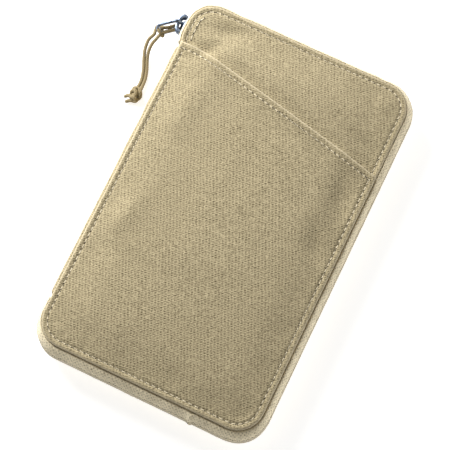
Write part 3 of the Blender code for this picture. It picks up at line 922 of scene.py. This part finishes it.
def build_back():
    """The back panel and the stitches round it, drawn in from below."""
    def outside(x, y):
        beside = edge_inset(x, y) - STITCH_INSET
        return stitch_groove(beside) + 0.25 * MM * needle_wave(along_edge(x, y)) * hump(beside, 0.5 * MM)

    grid = panel_grid(EDGE_BAND, 1.2 * MM, corner_steps=16)
    panel = sheet_solid("back_canvas", grid, EDGE_BAND, EDGE_ROLL, level(BACK_TOP), outside, CANVAS)
    place(panel, "back_half", "canvas", "back_panel")
    loop = closed_outline(STITCH_INSET, 0.5 * MM)
    line = np.column_stack([loop, outside(*loop.T)])[::-1]
    place(stitch_row("back_edge_stitches", line, up=(0, 0, -1)), "back_half", "canvas")


# ---------------------------------------------------------------- edge bands and zip

EDGE_REACH = 9.3 * MM
SIDE_FULLNESS = 4.3 * MM
BOTTOM_FULLNESS = 5.6 * MM
LEFT_FULLNESS = 2.7 * MM
TOP_FULLNESS = 3.0 * MM
CORNER_EXTRA = 0.8 * MM
BAND_SPACING = 0.8 * MM
TAPE_EDGE = 0.12 * MM
GUSSET_EDGE = 3.9 * MM
COIL_PITCH = 1.3 * MM
COIL_STEPS = 12
COIL_HALF_HEIGHT = 0.62 * MM
SEAM_X = 29 * MM
SEAM_HEIGHT = 0.7 * MM
SEAM_WIDTH = 1.1 * MM


def outline_path():
    """The zip's way: up the end of the left side, round by the top, right and bottom, and back to the left.

    Returns its points, their outward directions and the distance along it.
    """
    points = [(-HALF_WIDTH, y) for y in spread(ZIP_TOP_END, STRAIGHT_Y, BAND_SPACING)[:-1]]
    outs = [(-1.0, 0.0)] * len(points)
    quarter = spread(0, math.pi / 2, BAND_SPACING / CORNER_RADIUS)
    for turn, (sign_x, sign_y) in enumerate(((-1, 1), (1, 1), (1, -1), (-1, -1))):
        centre = np.array((sign_x * STRAIGHT_X, sign_y * STRAIGHT_Y))
        for angle in math.pi - turn * math.pi / 2 - quarter:
            outs.append((math.cos(angle), math.sin(angle)))
            points.append(tuple(centre + np.array(outs[-1]) * CORNER_RADIUS))
        if turn < 3:
            steps = spread(0, 2 * (STRAIGHT_Y if turn % 2 else STRAIGHT_X), BAND_SPACING)[1:-1]
            (x, y), (out_x, out_y) = points[-1], outs[-1]
            points += [(x + out_y * step, y - out_x * step) for step in steps]
            outs += [outs[-1]] * len(steps)
    ys = spread(-STRAIGHT_Y, ZIP_BOTTOM_END, BAND_SPACING)[1:]
    points += [(-HALF_WIDTH, y) for y in ys]
    outs += [(-1.0, 0.0)] * len(ys)
    points = np.array(points)
    return points, np.array(outs), running_length(points)


def fullness(outs):
    """How far the wallet's edge stands out past its panels at mid height, by the side it faces."""
    right, top = np.maximum(outs, 0).T ** 2
    left, bottom = np.maximum(-outs, 0).T ** 2
    swell = SIDE_FULLNESS * right + TOP_FULLNESS * top + LEFT_FULLNESS * left + BOTTOM_FULLNESS * bottom
    return swell + CORNER_EXTRA * 4 * right * bottom


def edge_offset(height, full):
    level = (height - MIDDLE) / EDGE_REACH
    return full * np.sqrt(np.clip(1 - level**2, 0.02, 1))


def band_rings(path, section, flip):
    """Rings of a band along a path. section gives (offset, height) points, flip puts it on the back half."""
    points, outs, lengths = path
    rings = []
    for point, out, length, full in zip(points, outs, lengths, fullness(outs)):
        places = section(length, full)
        across = point + out * places[:, :1]
        height = TOTAL_HEIGHT - places[:, 1] if flip else places[:, 1]
        rings.append(np.column_stack([across, height]))
    return np.array(rings)


def gusset_section(seed):
    """Section of an edge band: its folded edge by the zip, its rounded face and the part under the panel."""
    crest = FRONT_BOTTOM + 1.1 * MM
    edge = MIDDLE + GUSSET_EDGE
    heights = np.concatenate([edge + np.array((0.0, 0.25, 0.6)) * MM,
                              np.linspace(edge + 1.1 * MM, crest - 0.8 * MM, 7),
                              crest - np.array((0.4, 0.15, 0.0)) * MM])
    lower = heights[heights < FRONT_BOTTOM - 0.5 * MM]
    tuck = [(0.3 * MM, crest - 0.25 * MM), (0.1 * MM, crest - 0.7 * MM)]
    tuck += [(out * MM, FRONT_BOTTOM - down * MM) for out, down in ((0.0, 0.05), (-1.9, 0.1), (-1.9, 0.5))]

    def section(length, full):
        wrinkle = 0.22 * MM * soft_noise(length, heights * 1.5, 7 * MM, seed)
        wrinkle += 0.1 * MM * soft_noise(length, heights * 2, 2.6 * MM, seed + 1)
        outer = edge_offset(heights, full) + wrinkle * smooth(heights, edge, edge + 1.5 * MM)
        outer -= 0.14 * MM * hump(heights - edge - 1.3 * MM, 0.35 * MM)
        outer[:2] -= np.array((0.35, 0.08)) * MM
        inside = np.column_stack([edge_offset(lower, full) - 0.9 * MM, lower])[::-1]
        return np.vstack([np.column_stack([outer, heights]), tuck, inside])

    return section


def tape_section(edge):
    """Section of a zip tape: flat beside the teeth, then stepping in under the edge band."""
    def section(length, full):
        low = MIDDLE + edge(length)
        heights = np.array((low, low + 0.3 * MM, *(MIDDLE + up * MM for up in (2.4, 3.4, 4.2, 5.4))))
        heights = np.maximum(heights, low)
        drops = np.array((0.45, 0.35, 0.35, 0.45, 1.05, 1.15)) * MM
        outer = np.column_stack([edge_offset(heights, full) - drops, heights])
        return np.vstack([outer, outer[::-1] - (0.45 * MM, 0)])

    return section


def coil(name, path, flip, phase):
    """One side of the zip's coil: a nylon wire wound along inside the tape's edge."""
    points, outs, lengths = path
    turns = int(lengths[-1] / COIL_PITCH)
    t = np.arange(turns * COIL_STEPS + 1) / COIL_STEPS
    along = (t + phase) * COIL_PITCH
    along = along[along < lengths[-1]]
    t = t[:len(along)]
    centre = resample(points, along)
    out = np.stack([np.interp(along, lengths, part) for part in outs.T], 1)
    out /= np.linalg.norm(out, axis=1)[:, None]
    offset = edge_offset(MIDDLE, fullness(out)) - 1.35 * MM + 0.38 * MM * np.cos(TURN * t)
    height = COIL_HALF_HEIGHT * (1 + np.sin(TURN * t))
    line = np.column_stack([centre + out * offset[:, None], MIDDLE + (-height if flip else height)])
    return tube(name, line, 0.26 * MM, NYLON, sides=5)


def seam_fold(rings):
    """Raises a narrow fold across the bottom side's band, where its two ends are joined."""
    beside = (rings[..., 0] - SEAM_X) / SEAM_WIDTH
    lift = SEAM_HEIGHT * (hump(beside, 1) - 0.6 * hump(beside - 2.2, 1))
    rings[..., 1] -= np.where(rings[..., 1] < -HALF_LENGTH + 0.5 * MM, lift, 0)
    return rings


def build_edge(prefix, body, flip, seed):
    """The edge band of one half with its stitches, tape, coil and the binding of its inner seam."""
    path = outline_path()
    rings = seam_fold(band_rings(path, gusset_section(seed), flip))
    band = skin(f"{prefix}_edge_band", rings, WEAVE)
    place(pull_corner(band), body, "plain_weave", f"{prefix}_gusset")
    out = np.column_stack([path[1], np.zeros(len(rings))])
    row = stitch_row(f"{prefix}_band_stitches", rings[:, 3], thread=0.4 * MM, up=out)
    place(row, body, "canvas")
    build_tape(prefix, body, path, flip)
    binding = skin(f"{prefix}_seam_binding", band_rings(path, lining_binding_section, flip), TAPE)
    place(binding, body, "plain_weave")


def build_tape(prefix, body, path, flip):
    """The zip tape and coil. The cover's start past the slider, which stands between the two halves."""
    corner = STRAIGHT_Y - ZIP_TOP_END

    def edge(length):
        angle = (length - corner) / CORNER_RADIUS
        return TAPE_EDGE + (0 if flip else 2 * MM * (1 - smooth(angle, 0, math.radians(18))))

    tape = skin(f"{prefix}_tape", band_rings(path, tape_section(edge), flip), TAPE)
    place(tape, body, "plain_weave", f"{prefix}_zip_tape")
    if not flip:
        start = np.searchsorted(path[2], corner + CORNER_RADIUS * math.radians(20))
        path = (path[0][start:], path[1][start:], path[2][start:] - path[2][start])
    wire = coil(f"{prefix}_coil", path, flip, 0.5 if flip else 0.0)
    place(wire, body, "zip_nylon", f"{prefix}_zip_coil")


def lining_binding_section(length, full):
    """A rounded tape that covers the seam between the edge band and the lining, inside."""
    high = FRONT_BOTTOM - 1.6 * MM
    shape = ((-3.4, 0.0), (-3.5, -0.5), (-3.2, -0.9), (-2.4, -1.1), (-1.6, -1.2), (-1.0, -1.6),
             (-0.6, -2.4), (-0.3, -2.4), (-0.3, -1.4), (-0.9, -0.6), (-1.6, -0.1))
    wave = 0.08 * MM * math.sin(length / (2.1 * MM))
    return np.array([(offset * MM + wave, high + rise * MM) for offset, rise in shape])


def build_stops():
    """The metal clips at both ends of the back half's coil."""
    square = rounded_section(1, 1, 0.5, 20, 0)
    for word in ("top", "bottom"):
        low, high = (np.array(corner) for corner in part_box(f"zip_{word}_stop"))
        rings = []
        for t in np.linspace(-1, 1, 9):
            scale = (1 - abs(t) ** 6) ** 0.3 if abs(t) < 1 else 0.4
            rings.append((low + high) / 2 + np.insert(square * scale, 1, t, axis=1) * (high - low) / 2)
        place(skin(f"zip_{word}_clip", rings, METAL), "back_half", "slider_metal", f"zip_{word}_stop")


# ---------------------------------------------------------------- spine

def spine_section():
    """The spine cloth's outer face from the back panel's edge to mid height, as (x, height)."""
    heights = np.array((2.0, 2.15, 2.4, 2.9, 3.6, 4.6, 5.8, 7.2, 8.6, 9.9)) * MM
    heights = np.append(heights, MIDDLE)
    bulge = (heights - MIDDLE) / (MIDDLE - 1.9 * MM)
    reach = 2.35 * MM * np.clip(1 - np.abs(bulge) ** 3.2, 0, 1) ** 0.6 + 0.15 * MM
    outer = np.column_stack([-HALF_WIDTH - reach, heights])
    outer[0, 0] = -HALF_WIDTH + 1.4 * MM
    outer[1, 0] = -HALF_WIDTH + 0.2 * MM
    inner = outer[::-1] + (0.8 * MM, 0)
    inner[-2:, 1] += 0.6 * MM
    return np.vstack([outer, inner])


def spine_rings(section, flip):
    rings = []
    for y in spread(SPINE_BOTTOM, SPINE_TOP, 1.0 * MM):
        wave = 0.18 * MM * soft_noise(y, section[:, 1] * 1.5, 9 * MM, 31)
        closing = 1 - 0.5 * (1 - smooth(min(y - SPINE_BOTTOM, SPINE_TOP - y), 0, 1.5 * MM))
        x = -HALF_WIDTH + (section[:, 0] + HALF_WIDTH) * closing
        x += wave * smooth(section[:, 1], 2.4 * MM, 5 * MM)
        height = TOTAL_HEIGHT - section[:, 1] if flip else section[:, 1]
        rings.append(np.column_stack([x, np.full(len(section), y), height]))
    return np.array(rings)


def build_spine():
    """The spine cloth and its lining, each in two halves that meet at mid height."""
    low = Vector((FOLD_X + 2 * MM, 0, LOW_FOLD_Z + 0.2 * MM))
    high = Vector((FOLD_X, 0, LOW_FOLD_Z + 3.0 * MM))
    low_top = Vector((low.x, 0, TOTAL_HEIGHT - low.z))
    high_top = Vector((high.x, 0, TOTAL_HEIGHT - high.z))
    halves = ((False, "lower", "back_half", "spine", low, high),
              (True, "upper", "spine", "cover", high_top, low_top))
    layers = (("spine_cloth", spine_section(), CANVAS, "canvas", "spine_panel", 0.013),
              ("spine_lining", spine_lining_section(), LINING, "lining", "spine_lining", 0.012))
    for flip, word, first, second, start, end in halves:
        for layer, section, finish, slot, node, width in layers:
            half = skin(f"{layer}_{word}", spine_rings(section, flip), finish)
            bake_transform(half)
            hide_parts(node)


def spine_lining_section():
    """The lining's run from the edge of the flat lining up the inside of the spine."""
    line = np.array(((-59.0, 4.25), (-60.2, 4.3), (-61.2, 4.6), (-61.9, 5.3), (-62.2, 6.3), (-62.3, 7.6),
                     (-62.35, 9.0), (-62.4, 10.2), (-62.4, 11.1))) * MM
    line[-1, 1] = MIDDLE
    inside = line[::-1] + (-0.15 * MM, 0)
    inside[-4:, 1] -= 0.3 * MM
    return np.vstack([line, inside])


# ---------------------------------------------------------------- inside

def quilt(x, y, seed):
    """Slight looseness of the lining."""
    inner = smooth(edge_inset(x, y), 3 * MM, 14 * MM)
    return inner * (0.35 * soft_noise(x, y, 22 * MM, seed) + 0.15 * soft_noise(x, y, 8 * MM, seed + 1)) * MM


def build_linings():
    """The lining and the foam of both halves."""
    grid = panel_grid(5.5 * MM, 2.5 * MM, corner_steps=12)
    for prefix, body, seed in (("back", "back_half", 41), ("front", "cover", 51)):
        build_lining(prefix, body, seed, grid)
        low, high = (corner.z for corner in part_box(f"{prefix}_padding"))
        foam = sheet_solid(
            f"{prefix}_foam", grid, 3 * MM, 0.5 * MM, level(high), level(low), FOAM, 1.5 * MM,
        )
        place(foam, body, "foam", f"{prefix}_padding")


def build_lining(prefix, body, seed, grid):
    low, high = (corner.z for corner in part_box(f"{prefix}_lining"))
    lining = sheet_solid(
        f"{prefix}_inner_lining", grid, 3 * MM, 0.25 * MM,
        lambda x, y: high + np.minimum(0.3 * quilt(x, y, seed), 0.1 * MM),
        lambda x, y: low + np.maximum(0.3 * quilt(x, y, seed), -0.1 * MM), LINING, 1.5 * MM,
    )
    place(lining, body, "lining", f"{prefix}_lining")


def flat_pocket(name, node, body, finish, slot, facing, seed):
    """A flat inner pocket piece in the box of its CAD node, with a rounded edge and a little looseness."""
    low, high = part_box(node)
    inset = 2 * MM
    x = spread(low.x + inset, high.x - inset, inset)
    y = spread(low.y + inset, high.y - inset, inset)
    grid = np.stack(np.meshgrid(x, y), 2)

    def swell(x, y):
        t = np.clip((x - low.x) / (high.x - low.x), 0, 1)
        return facing * 0.08 * MM * soft_noise(x, y, 14 * MM, seed) * np.sin(math.pi * t)

    piece = sheet_solid(
        name, grid, inset, min((high.z - low.z) / 2, 0.4 * MM), lambda x, y: high.z + swell(x, y),
        lambda x, y: low.z + swell(x, y), finish, 0.5 * MM,
    )
    return place(piece, body, slot, node)


def build_inner_pockets():
    """The passport and document sleeves with their bindings, the card slots, and the stitches of all."""
    sleeves = (("passport", "back_half", 1, 61, (0.108, 0.096)),
               ("document", "cover", -1, 63, (0.108, 0.156)))
    for word, body, facing, seed, flat in sleeves:
        node = f"{word}_sleeve"
        sleeve = flat_pocket(f"{word}_pocket", node, body, LINING, "lining", facing, seed)
        binding = flat_pocket(
            f"{word}_pocket_binding", f"{node}_binding", body, TAPE, "plain_weave", facing, seed + 1,
        )
    for count in range(1, 4):
        node = f"card_slot_{count}"
        slot = flat_pocket(f"card_pocket_{count}", node, "back_half", LINING, "lining", 1, 70 + count)
        low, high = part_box(node)
        x = spread(low.x + 1 * MM, high.x - 1 * MM, 1 * MM)
        line = [(place_x, high.y - 2.5 * MM, high.z) for place_x in x]
        sew_pocket(f"card_stitches_{count}", line, "back_half", 1)
    for word, body, facing, *_ in sleeves:
        low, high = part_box(f"{word}_sleeve")
        z = high.z if facing > 0 else low.z
        left = low.x + 1.5 * MM
        right = high.x - 1.5 * MM
        bottom = low.y + 1.5 * MM
        line = np.array(((left, high.y, z), (left, bottom, z), (right, bottom, z), (right, high.y, z)))
        line = resample(line, spread(0, running_length(line)[-1], 0.5 * MM))
        sew_pocket(f"{word}_stitches", line, body, facing)


def sew_pocket(name, line, body, facing):
    place(stitch_row(name, line, thread=0.35 * MM, sink=0.15 * MM, up=(0, 0, facing)), body, "canvas")


# ---------------------------------------------------------------- slider, ring and cord

# Angles past the left side's end and, for the outer plate, the offset outwards from the corner's arc
SLIDER_START = math.radians(-16)
SLIDER_SPAN = math.radians(32)
BRIDGE_START = math.radians(-13)
BRIDGE_SPAN = math.radians(26)
PLATE_OFFSET = 3.5 * MM


def on_corner(angle, offset, height):
    """A point beside the top left corner's arc, by its angle past the left side and its offset outwards."""
    turned = math.pi - angle
    reach = CORNER_RADIUS + offset
    return (reach * math.cos(turned) - STRAIGHT_X, reach * math.sin(turned) + STRAIGHT_Y, height)


def corner_ring(section, angle, offset, height=MIDDLE):
    """A section of (offset, height) points, set across the corner's arc."""
    return [on_corner(angle, offset + o, height + h) for o, h in section]


def rounded_section(half_thick, half_high, power=0.45, sides=24, first=0.01):
    """A rectangle with rounded corners as (offset, height) points, from a first angle on."""
    angles = np.linspace(0, TURN, sides, endpoint=False) + first
    shape = np.stack([np.cos(angles), np.sin(angles)], 1)
    return np.sign(shape) * np.abs(shape) ** power * (half_thick, half_high)


def rounding(t, least, power):
    """How full a piece is between its ends, at 0 and 1: 1 in the middle and least at both ends."""
    return max(least, (1 - abs(2 * t - 1) ** power) ** 0.5)


def slider_plate(name, low, high, dome):
    """A curved plate with rounded ends, wide at the mouth and narrower at the tail, between two offsets."""
    rings = []
    for t in np.linspace(0, 1, 25):
        ease = rounding(t, 0.12, 7)
        half = (3.6 - 0.9 * smooth(t, 0.15, 0.9)) * MM * (0.55 + 0.45 * ease)
        section = rounded_section((high - low) / 2 * (0.5 + 0.5 * ease), half)
        section[:, 0] += dome * (1 - (section[:, 1] / half) ** 2) * (section[:, 0] > 0)
        rings.append(corner_ring(section, SLIDER_START + SLIDER_SPAN * t, (low + high) / 2))
    return skin(name, rings, METAL)


def build_slider():
    """Outer and inner plates, the post between them, side flanges, and the bridge that holds the ring."""
    parts = [slider_plate("outer", PLATE_OFFSET, PLATE_OFFSET + 1.2 * MM, 0.3 * MM),
             slider_plate("inner", -1.6 * MM, -0.45 * MM, 0),
             slider_post(), slider_flange(-1), slider_flange(1), slider_lip()]
    place(join("slider_shell", parts), "slider", "slider_metal", "slider_body")
    build_bridge()


def slider_post():
    rings = []
    for offset in np.linspace(-1.2 * MM, PLATE_OFFSET + 0.4 * MM, 5):
        rings.append([on_corner(math.radians(3.8 * math.cos(turn) - 11.2), offset,
                                MIDDLE + (0.9 + 0.85 * math.sin(turn)) * MM)
                      for turn in np.linspace(0, TURN, 12, endpoint=False)])
    return skin("post", rings, METAL)


def slider_flange(side):
    """The outer plate's rim turned in along one side."""
    rings = []
    for t in np.linspace(0, 1, 17):
        half = (3.35 - 0.85 * smooth(t, 0.1, 0.9)) * MM
        ease = rounding(t, 0.2, 6)
        section = rounded_section(0.55 * MM * ease, 0.32 * MM * ease, 0.6, 12)
        angle = SLIDER_START + SLIDER_SPAN * (0.08 + 0.86 * t)
        rings.append(corner_ring(section, angle, PLATE_OFFSET - 0.1 * MM, MIDDLE + side * half))
    return skin(f"flange_{side}", rings, METAL)


def slider_lip():
    """The rounded lip of the slider's nose, below the bridge and the ring."""
    rings = []
    for t in np.linspace(0, 1, 21):
        reach = 1.6 * MM * rounding(t, 0.3, 4)
        section = rounded_section(reach, 0.5 * MM, 0.6, 16)
        angle = BRIDGE_START + BRIDGE_SPAN * t
        rings.append(corner_ring(section, angle, 4 * MM + reach, MIDDLE - 3.9 * MM))
    return skin("lip", rings, METAL)


def join(name, parts):
    """One object made of several meshes, under the first one's name changed to name."""
    bpy.ops.object.select_all(action="DESELECT")
    for part in parts:
        part.select_set(True)
    bpy.context.view_layer.objects.active = parts[0]
    bpy.ops.object.join()
    parts[0].name = name
    parts[0].data.name = name
    return parts[0]


def build_bridge():
    """The arch over the slider's outer plate, its section turned to lie across the arch."""
    rings = []
    base = 5.1 * MM
    section = rounded_section(1.0 * MM, 2.3 * MM, 0.5, 16)
    for t in np.linspace(0, 1, 33):
        offset = base - 0.5 * MM + 3.7 * MM * abs(math.sin(math.pi * t)) ** 0.55
        slope = math.cos(math.pi * t)
        angle = BRIDGE_START + BRIDGE_SPAN * (0.5 - 0.5 * slope) ** 0.9
        tilt = slope**3 / (CORNER_RADIUS + base)
        rings.append([on_corner(angle - tilt * o, offset + o, MIDDLE + h) for o, h in section])
    place(skin("slider_arch", rings, METAL), "slider", "slider_metal", "slider_bridge")


RING_HEADING = math.radians(215)
RING_DROOP = math.radians(12)
RING_LEAN = math.radians(60)
RING_WIRE = 1.8 * MM
RING_LENGTH = 13.6 * MM
RING_HALF_WIDTH = 3.1 * MM
PIVOT_OFFSET = 6.6 * MM
RING_OVERLAP = 0.65 * MM
HITCH_ALONG_RING = 8.2 * MM


def ring_frame():
    """The ring's start by the bridge, the direction along it and the direction across to its lower side."""
    pivot = Vector(on_corner(0, PIVOT_OFFSET, MIDDLE))
    heading = Vector((math.cos(RING_HEADING), math.sin(RING_HEADING), 0))
    down = Vector((0, 0, -1))
    along = heading * math.cos(RING_DROOP) + down * math.sin(RING_DROOP)
    side = Vector((-heading.y, heading.x, 0))
    across = side * math.cos(RING_LEAN) + down * math.sin(RING_LEAN)
    across = (across - across.dot(along) * along).normalized()
    return pivot - along * RING_OVERLAP, along, across


def build_ring():
    start, along, across = ring_frame()
    points = []
    for end, centre in ((1, RING_LENGTH - RING_HALF_WIDTH), (-1, RING_HALF_WIDTH)):
        for angle in np.linspace(-math.pi / 2, math.pi / 2, 25):
            forward = centre + end * RING_HALF_WIDTH * math.cos(angle)
            points.append(start + along * forward + across * (end * RING_HALF_WIDTH * math.sin(angle)))
    ring = tube("pull_wire_ring", [tuple(p) for p in points], RING_WIRE / 2, METAL, sides=16, cyclic=True)
    place(ring, "pull", "slider_metal", "pull_ring")


# Each half of the pull cord: from the middle of the hitch's crossing bar, round the ring's lower side, and
# out. In millimetres along the ring, level across it towards the wallet, and up.
OUTER_HITCH = (
    (-5.9, -0.9, 1.9), (-5.3, -1.7, 2.1), (-3.4, -1.7, 2.2), (-0.6, -1.6, 2.2), (2.0, -2.1, 2.1),
    (3.4, -3.4, 1.2), (3.8, -3.0, -0.4), (3.9, -1.0, -1.6), (3.9, 0.7, -1.3), (4.0, 1.7, 0.3),
    (4.2, 1.1, 2.4), (4.7, -0.6, 3.4), (5.2, -2.5, 3.2), (5.8, -3.6, 1.9), (6.6, -3.0, 0.9),
    (7.5, -1.5, 0.9),
)
INNER_HITCH = (
    (-5.9, -0.9, 1.9), (-5.3, 0.0, 1.8), (-3.5, 0.1, 1.6), (-1.0, 0.1, 1.5), (1.4, 0.2, 1.6),
    (3.6, 0.5, 1.3), (5.4, 1.2, 0.9),
)
# Through the knot, from its centre, in units of KNOT_SIZE millimetres
KNOT_SIZE = 1.25
OUTER_KNOT = (
    (0.4, 2.5, 1.2), (1.7, 1.2, 1.4), (2.1, -0.3, 0.3), (1.2, -1.3, -1.2), (-0.4, -1.4, -1.7),
    (-1.8, -0.6, -0.9), (-2.0, 0.6, 0.5), (-1.0, 1.2, 1.6), (0.1, 0.2, 1.9), (0.2, -1.1, 1.5),
    (-0.9, -1.7, 0.5), (-2.2, -1.5, -0.2),
)
INNER_KNOT = (
    (0.0, 2.6, -0.9), (-1.3, 1.9, -1.0), (-1.9, 2.0, 0.3), (-0.9, 2.3, 1.5), (0.9, 2.0, 0.2),
    (1.0, 0.6, -1.0), (-0.1, 0.0, -0.3), (-0.6, -0.9, 1.1), (0.5, -2.0, 1.4), (1.4, -2.3, 0.2),
    (0.5, -2.6, -0.9), (-0.9, -2.9, -0.9),
)


def hitch_points(steps):
    """Points in millimetres, from steps in millimetres along the ring, level across it and up."""
    start, along, across = ring_frame()
    middle = (start + across * RING_HALF_WIDTH + along * HITCH_ALONG_RING) / MM
    near = Vector((-math.sin(RING_HEADING), math.cos(RING_HEADING), 0))
    near = (near - near.dot(along) * along).normalized()
    upward = near.cross(along) if near.cross(along).z > 0 else along.cross(near)
    return [tuple(middle + along * a + near * p + upward * q) for a, p, q in steps]


def build_cord():
    """The pull cord as its two halves, which share the middle of the hitch."""
    knot = np.array(KNOT_CENTRE)
    halves = (
        ("pull_cord_outer", OUTER_HITCH, OUTER_STRAND, OUTER_KNOT, LONG_TAIL,
         ("cord_hitch", "cord_outer_strand", "cord_knot", "cord_long_tail")),
        ("pull_cord_inner", INNER_HITCH, INNER_STRAND, INNER_KNOT, SHORT_TAIL,
         ("cord_inner_strand", "cord_short_tail")),
    )
    for name, hitch, strand, tie, tail, nodes in halves:
        points = [*hitch_points(hitch), *strand, *(knot + KNOT_SIZE * np.array(tie)), *tail]
        line = smooth_route(points, 0.25) * MM
        along = running_length(line)
        angles = np.linspace(0, TURN, 16, endpoint=False)
        braid = np.cos(TURN * along[:, None] / BRAID_PITCH) * np.cos(BRAID_STRANDS * angles)
        from_knot = np.linalg.norm(line - knot * MM, axis=1)[:, None]
        swell = 1 + 0.18 * (1 - smooth(from_knot, 3 * MM, 6 * MM))
        cord = tube(name, line, CORD / 2 * swell * (0.97 + 0.05 * braid), YARN, sides=16, round_ends=True)
        place(cord, "pull", "cord", *nodes)


# ---------------------------------------------------------------- stage

HORIZON_LIGHT = 3.5
OVERHEAD_LIGHT = 0.2
BOTTOM_DIMMING = 0.92
KEY_DISTANCE = 0.55
FLOOR_HALF = 3.0
CAMERA_PLACE = Vector((100.56, -178.0, 875.82)) * MM
CAMERA_TARGET = Vector((-0.39, -1.75, 0)) * MM
CAMERA_UP = Vector((-0.4197, 0.8792, 0.2253))


def build_stage():
    mesh = bpy.data.meshes.new("floor")
    corners = [(x * FLOOR_HALF, y * FLOOR_HALF, 0) for x, y in ((-1, -1), (1, -1), (1, 1), (-1, 1))]
    mesh.from_pydata(corners, [], [(0, 1, 2, 3)])
    mesh.materials.append(floor_finish())
    floor = link(bpy.data.objects.new("floor", mesh))
    floor.location.z = -0.05 * MM


def build_world():
    """White surroundings: bright near the floor, dim overhead and dimmer past the bottom edge."""
    world = bpy.data.worlds.new("studio")
    world.use_nodes = True
    nodes = Nodes(world.node_tree)
    _, depth, height = nodes.split(nodes.node("ShaderNodeTexCoord").outputs["Generated"])
    overall = (height * -1 + 1).clamped() ** 3 * HORIZON_LIGHT + OVERHEAD_LIGHT
    below = (depth * -BOTTOM_DIMMING).clamped()
    background = world.node_tree.nodes["Background"]
    nodes.feed(overall * (below * -1 + 1), background.inputs["Strength"])
    background.inputs["Color"].default_value = (1.0, 0.995, 0.985, 1)
    bpy.context.scene.world = world


def build_lights():
    """White surroundings and one soft light from the upper left."""
    build_world()
    light = bpy.data.lights.new("key", "AREA")
    light.shape = "DISK"
    light.size = 0.35
    light.energy = 4.7
    key = link(bpy.data.objects.new("key", light))
    towards = Vector((-0.95, 0.5, 0.7)).normalized()
    key.location = towards * KEY_DISTANCE
    key.rotation_euler = towards.to_track_quat("Z", "Y").to_euler()
    bpy.context.scene.view_settings.view_transform = "Standard"


def build_camera():
    camera = bpy.data.cameras.new("camera")
    camera.sensor_width = 36
    camera.lens = 136
    camera.clip_end = 20
    obj = link(bpy.data.objects.new("camera", camera))
    back = (CAMERA_PLACE - CAMERA_TARGET).normalized()
    right = CAMERA_UP.cross(back).normalized()
    turned = Matrix((right, back.cross(right), back)).transposed()
    obj.matrix_world = Matrix.Translation(CAMERA_PLACE) @ turned.to_4x4()
    bpy.context.scene.camera = obj


def main():
    build_camera()
    build_lights()
    build_stage()
    build_cord()
    build_ring()
    build_slider()
    build_front()
    build_back()
    build_edge("front", "cover", False, 81)
    build_edge("back", "back_half", True, 91)
    build_stops()
    build_spine()
    build_linings()
    build_inner_pockets()


main()
bpy.context.view_layer.update()
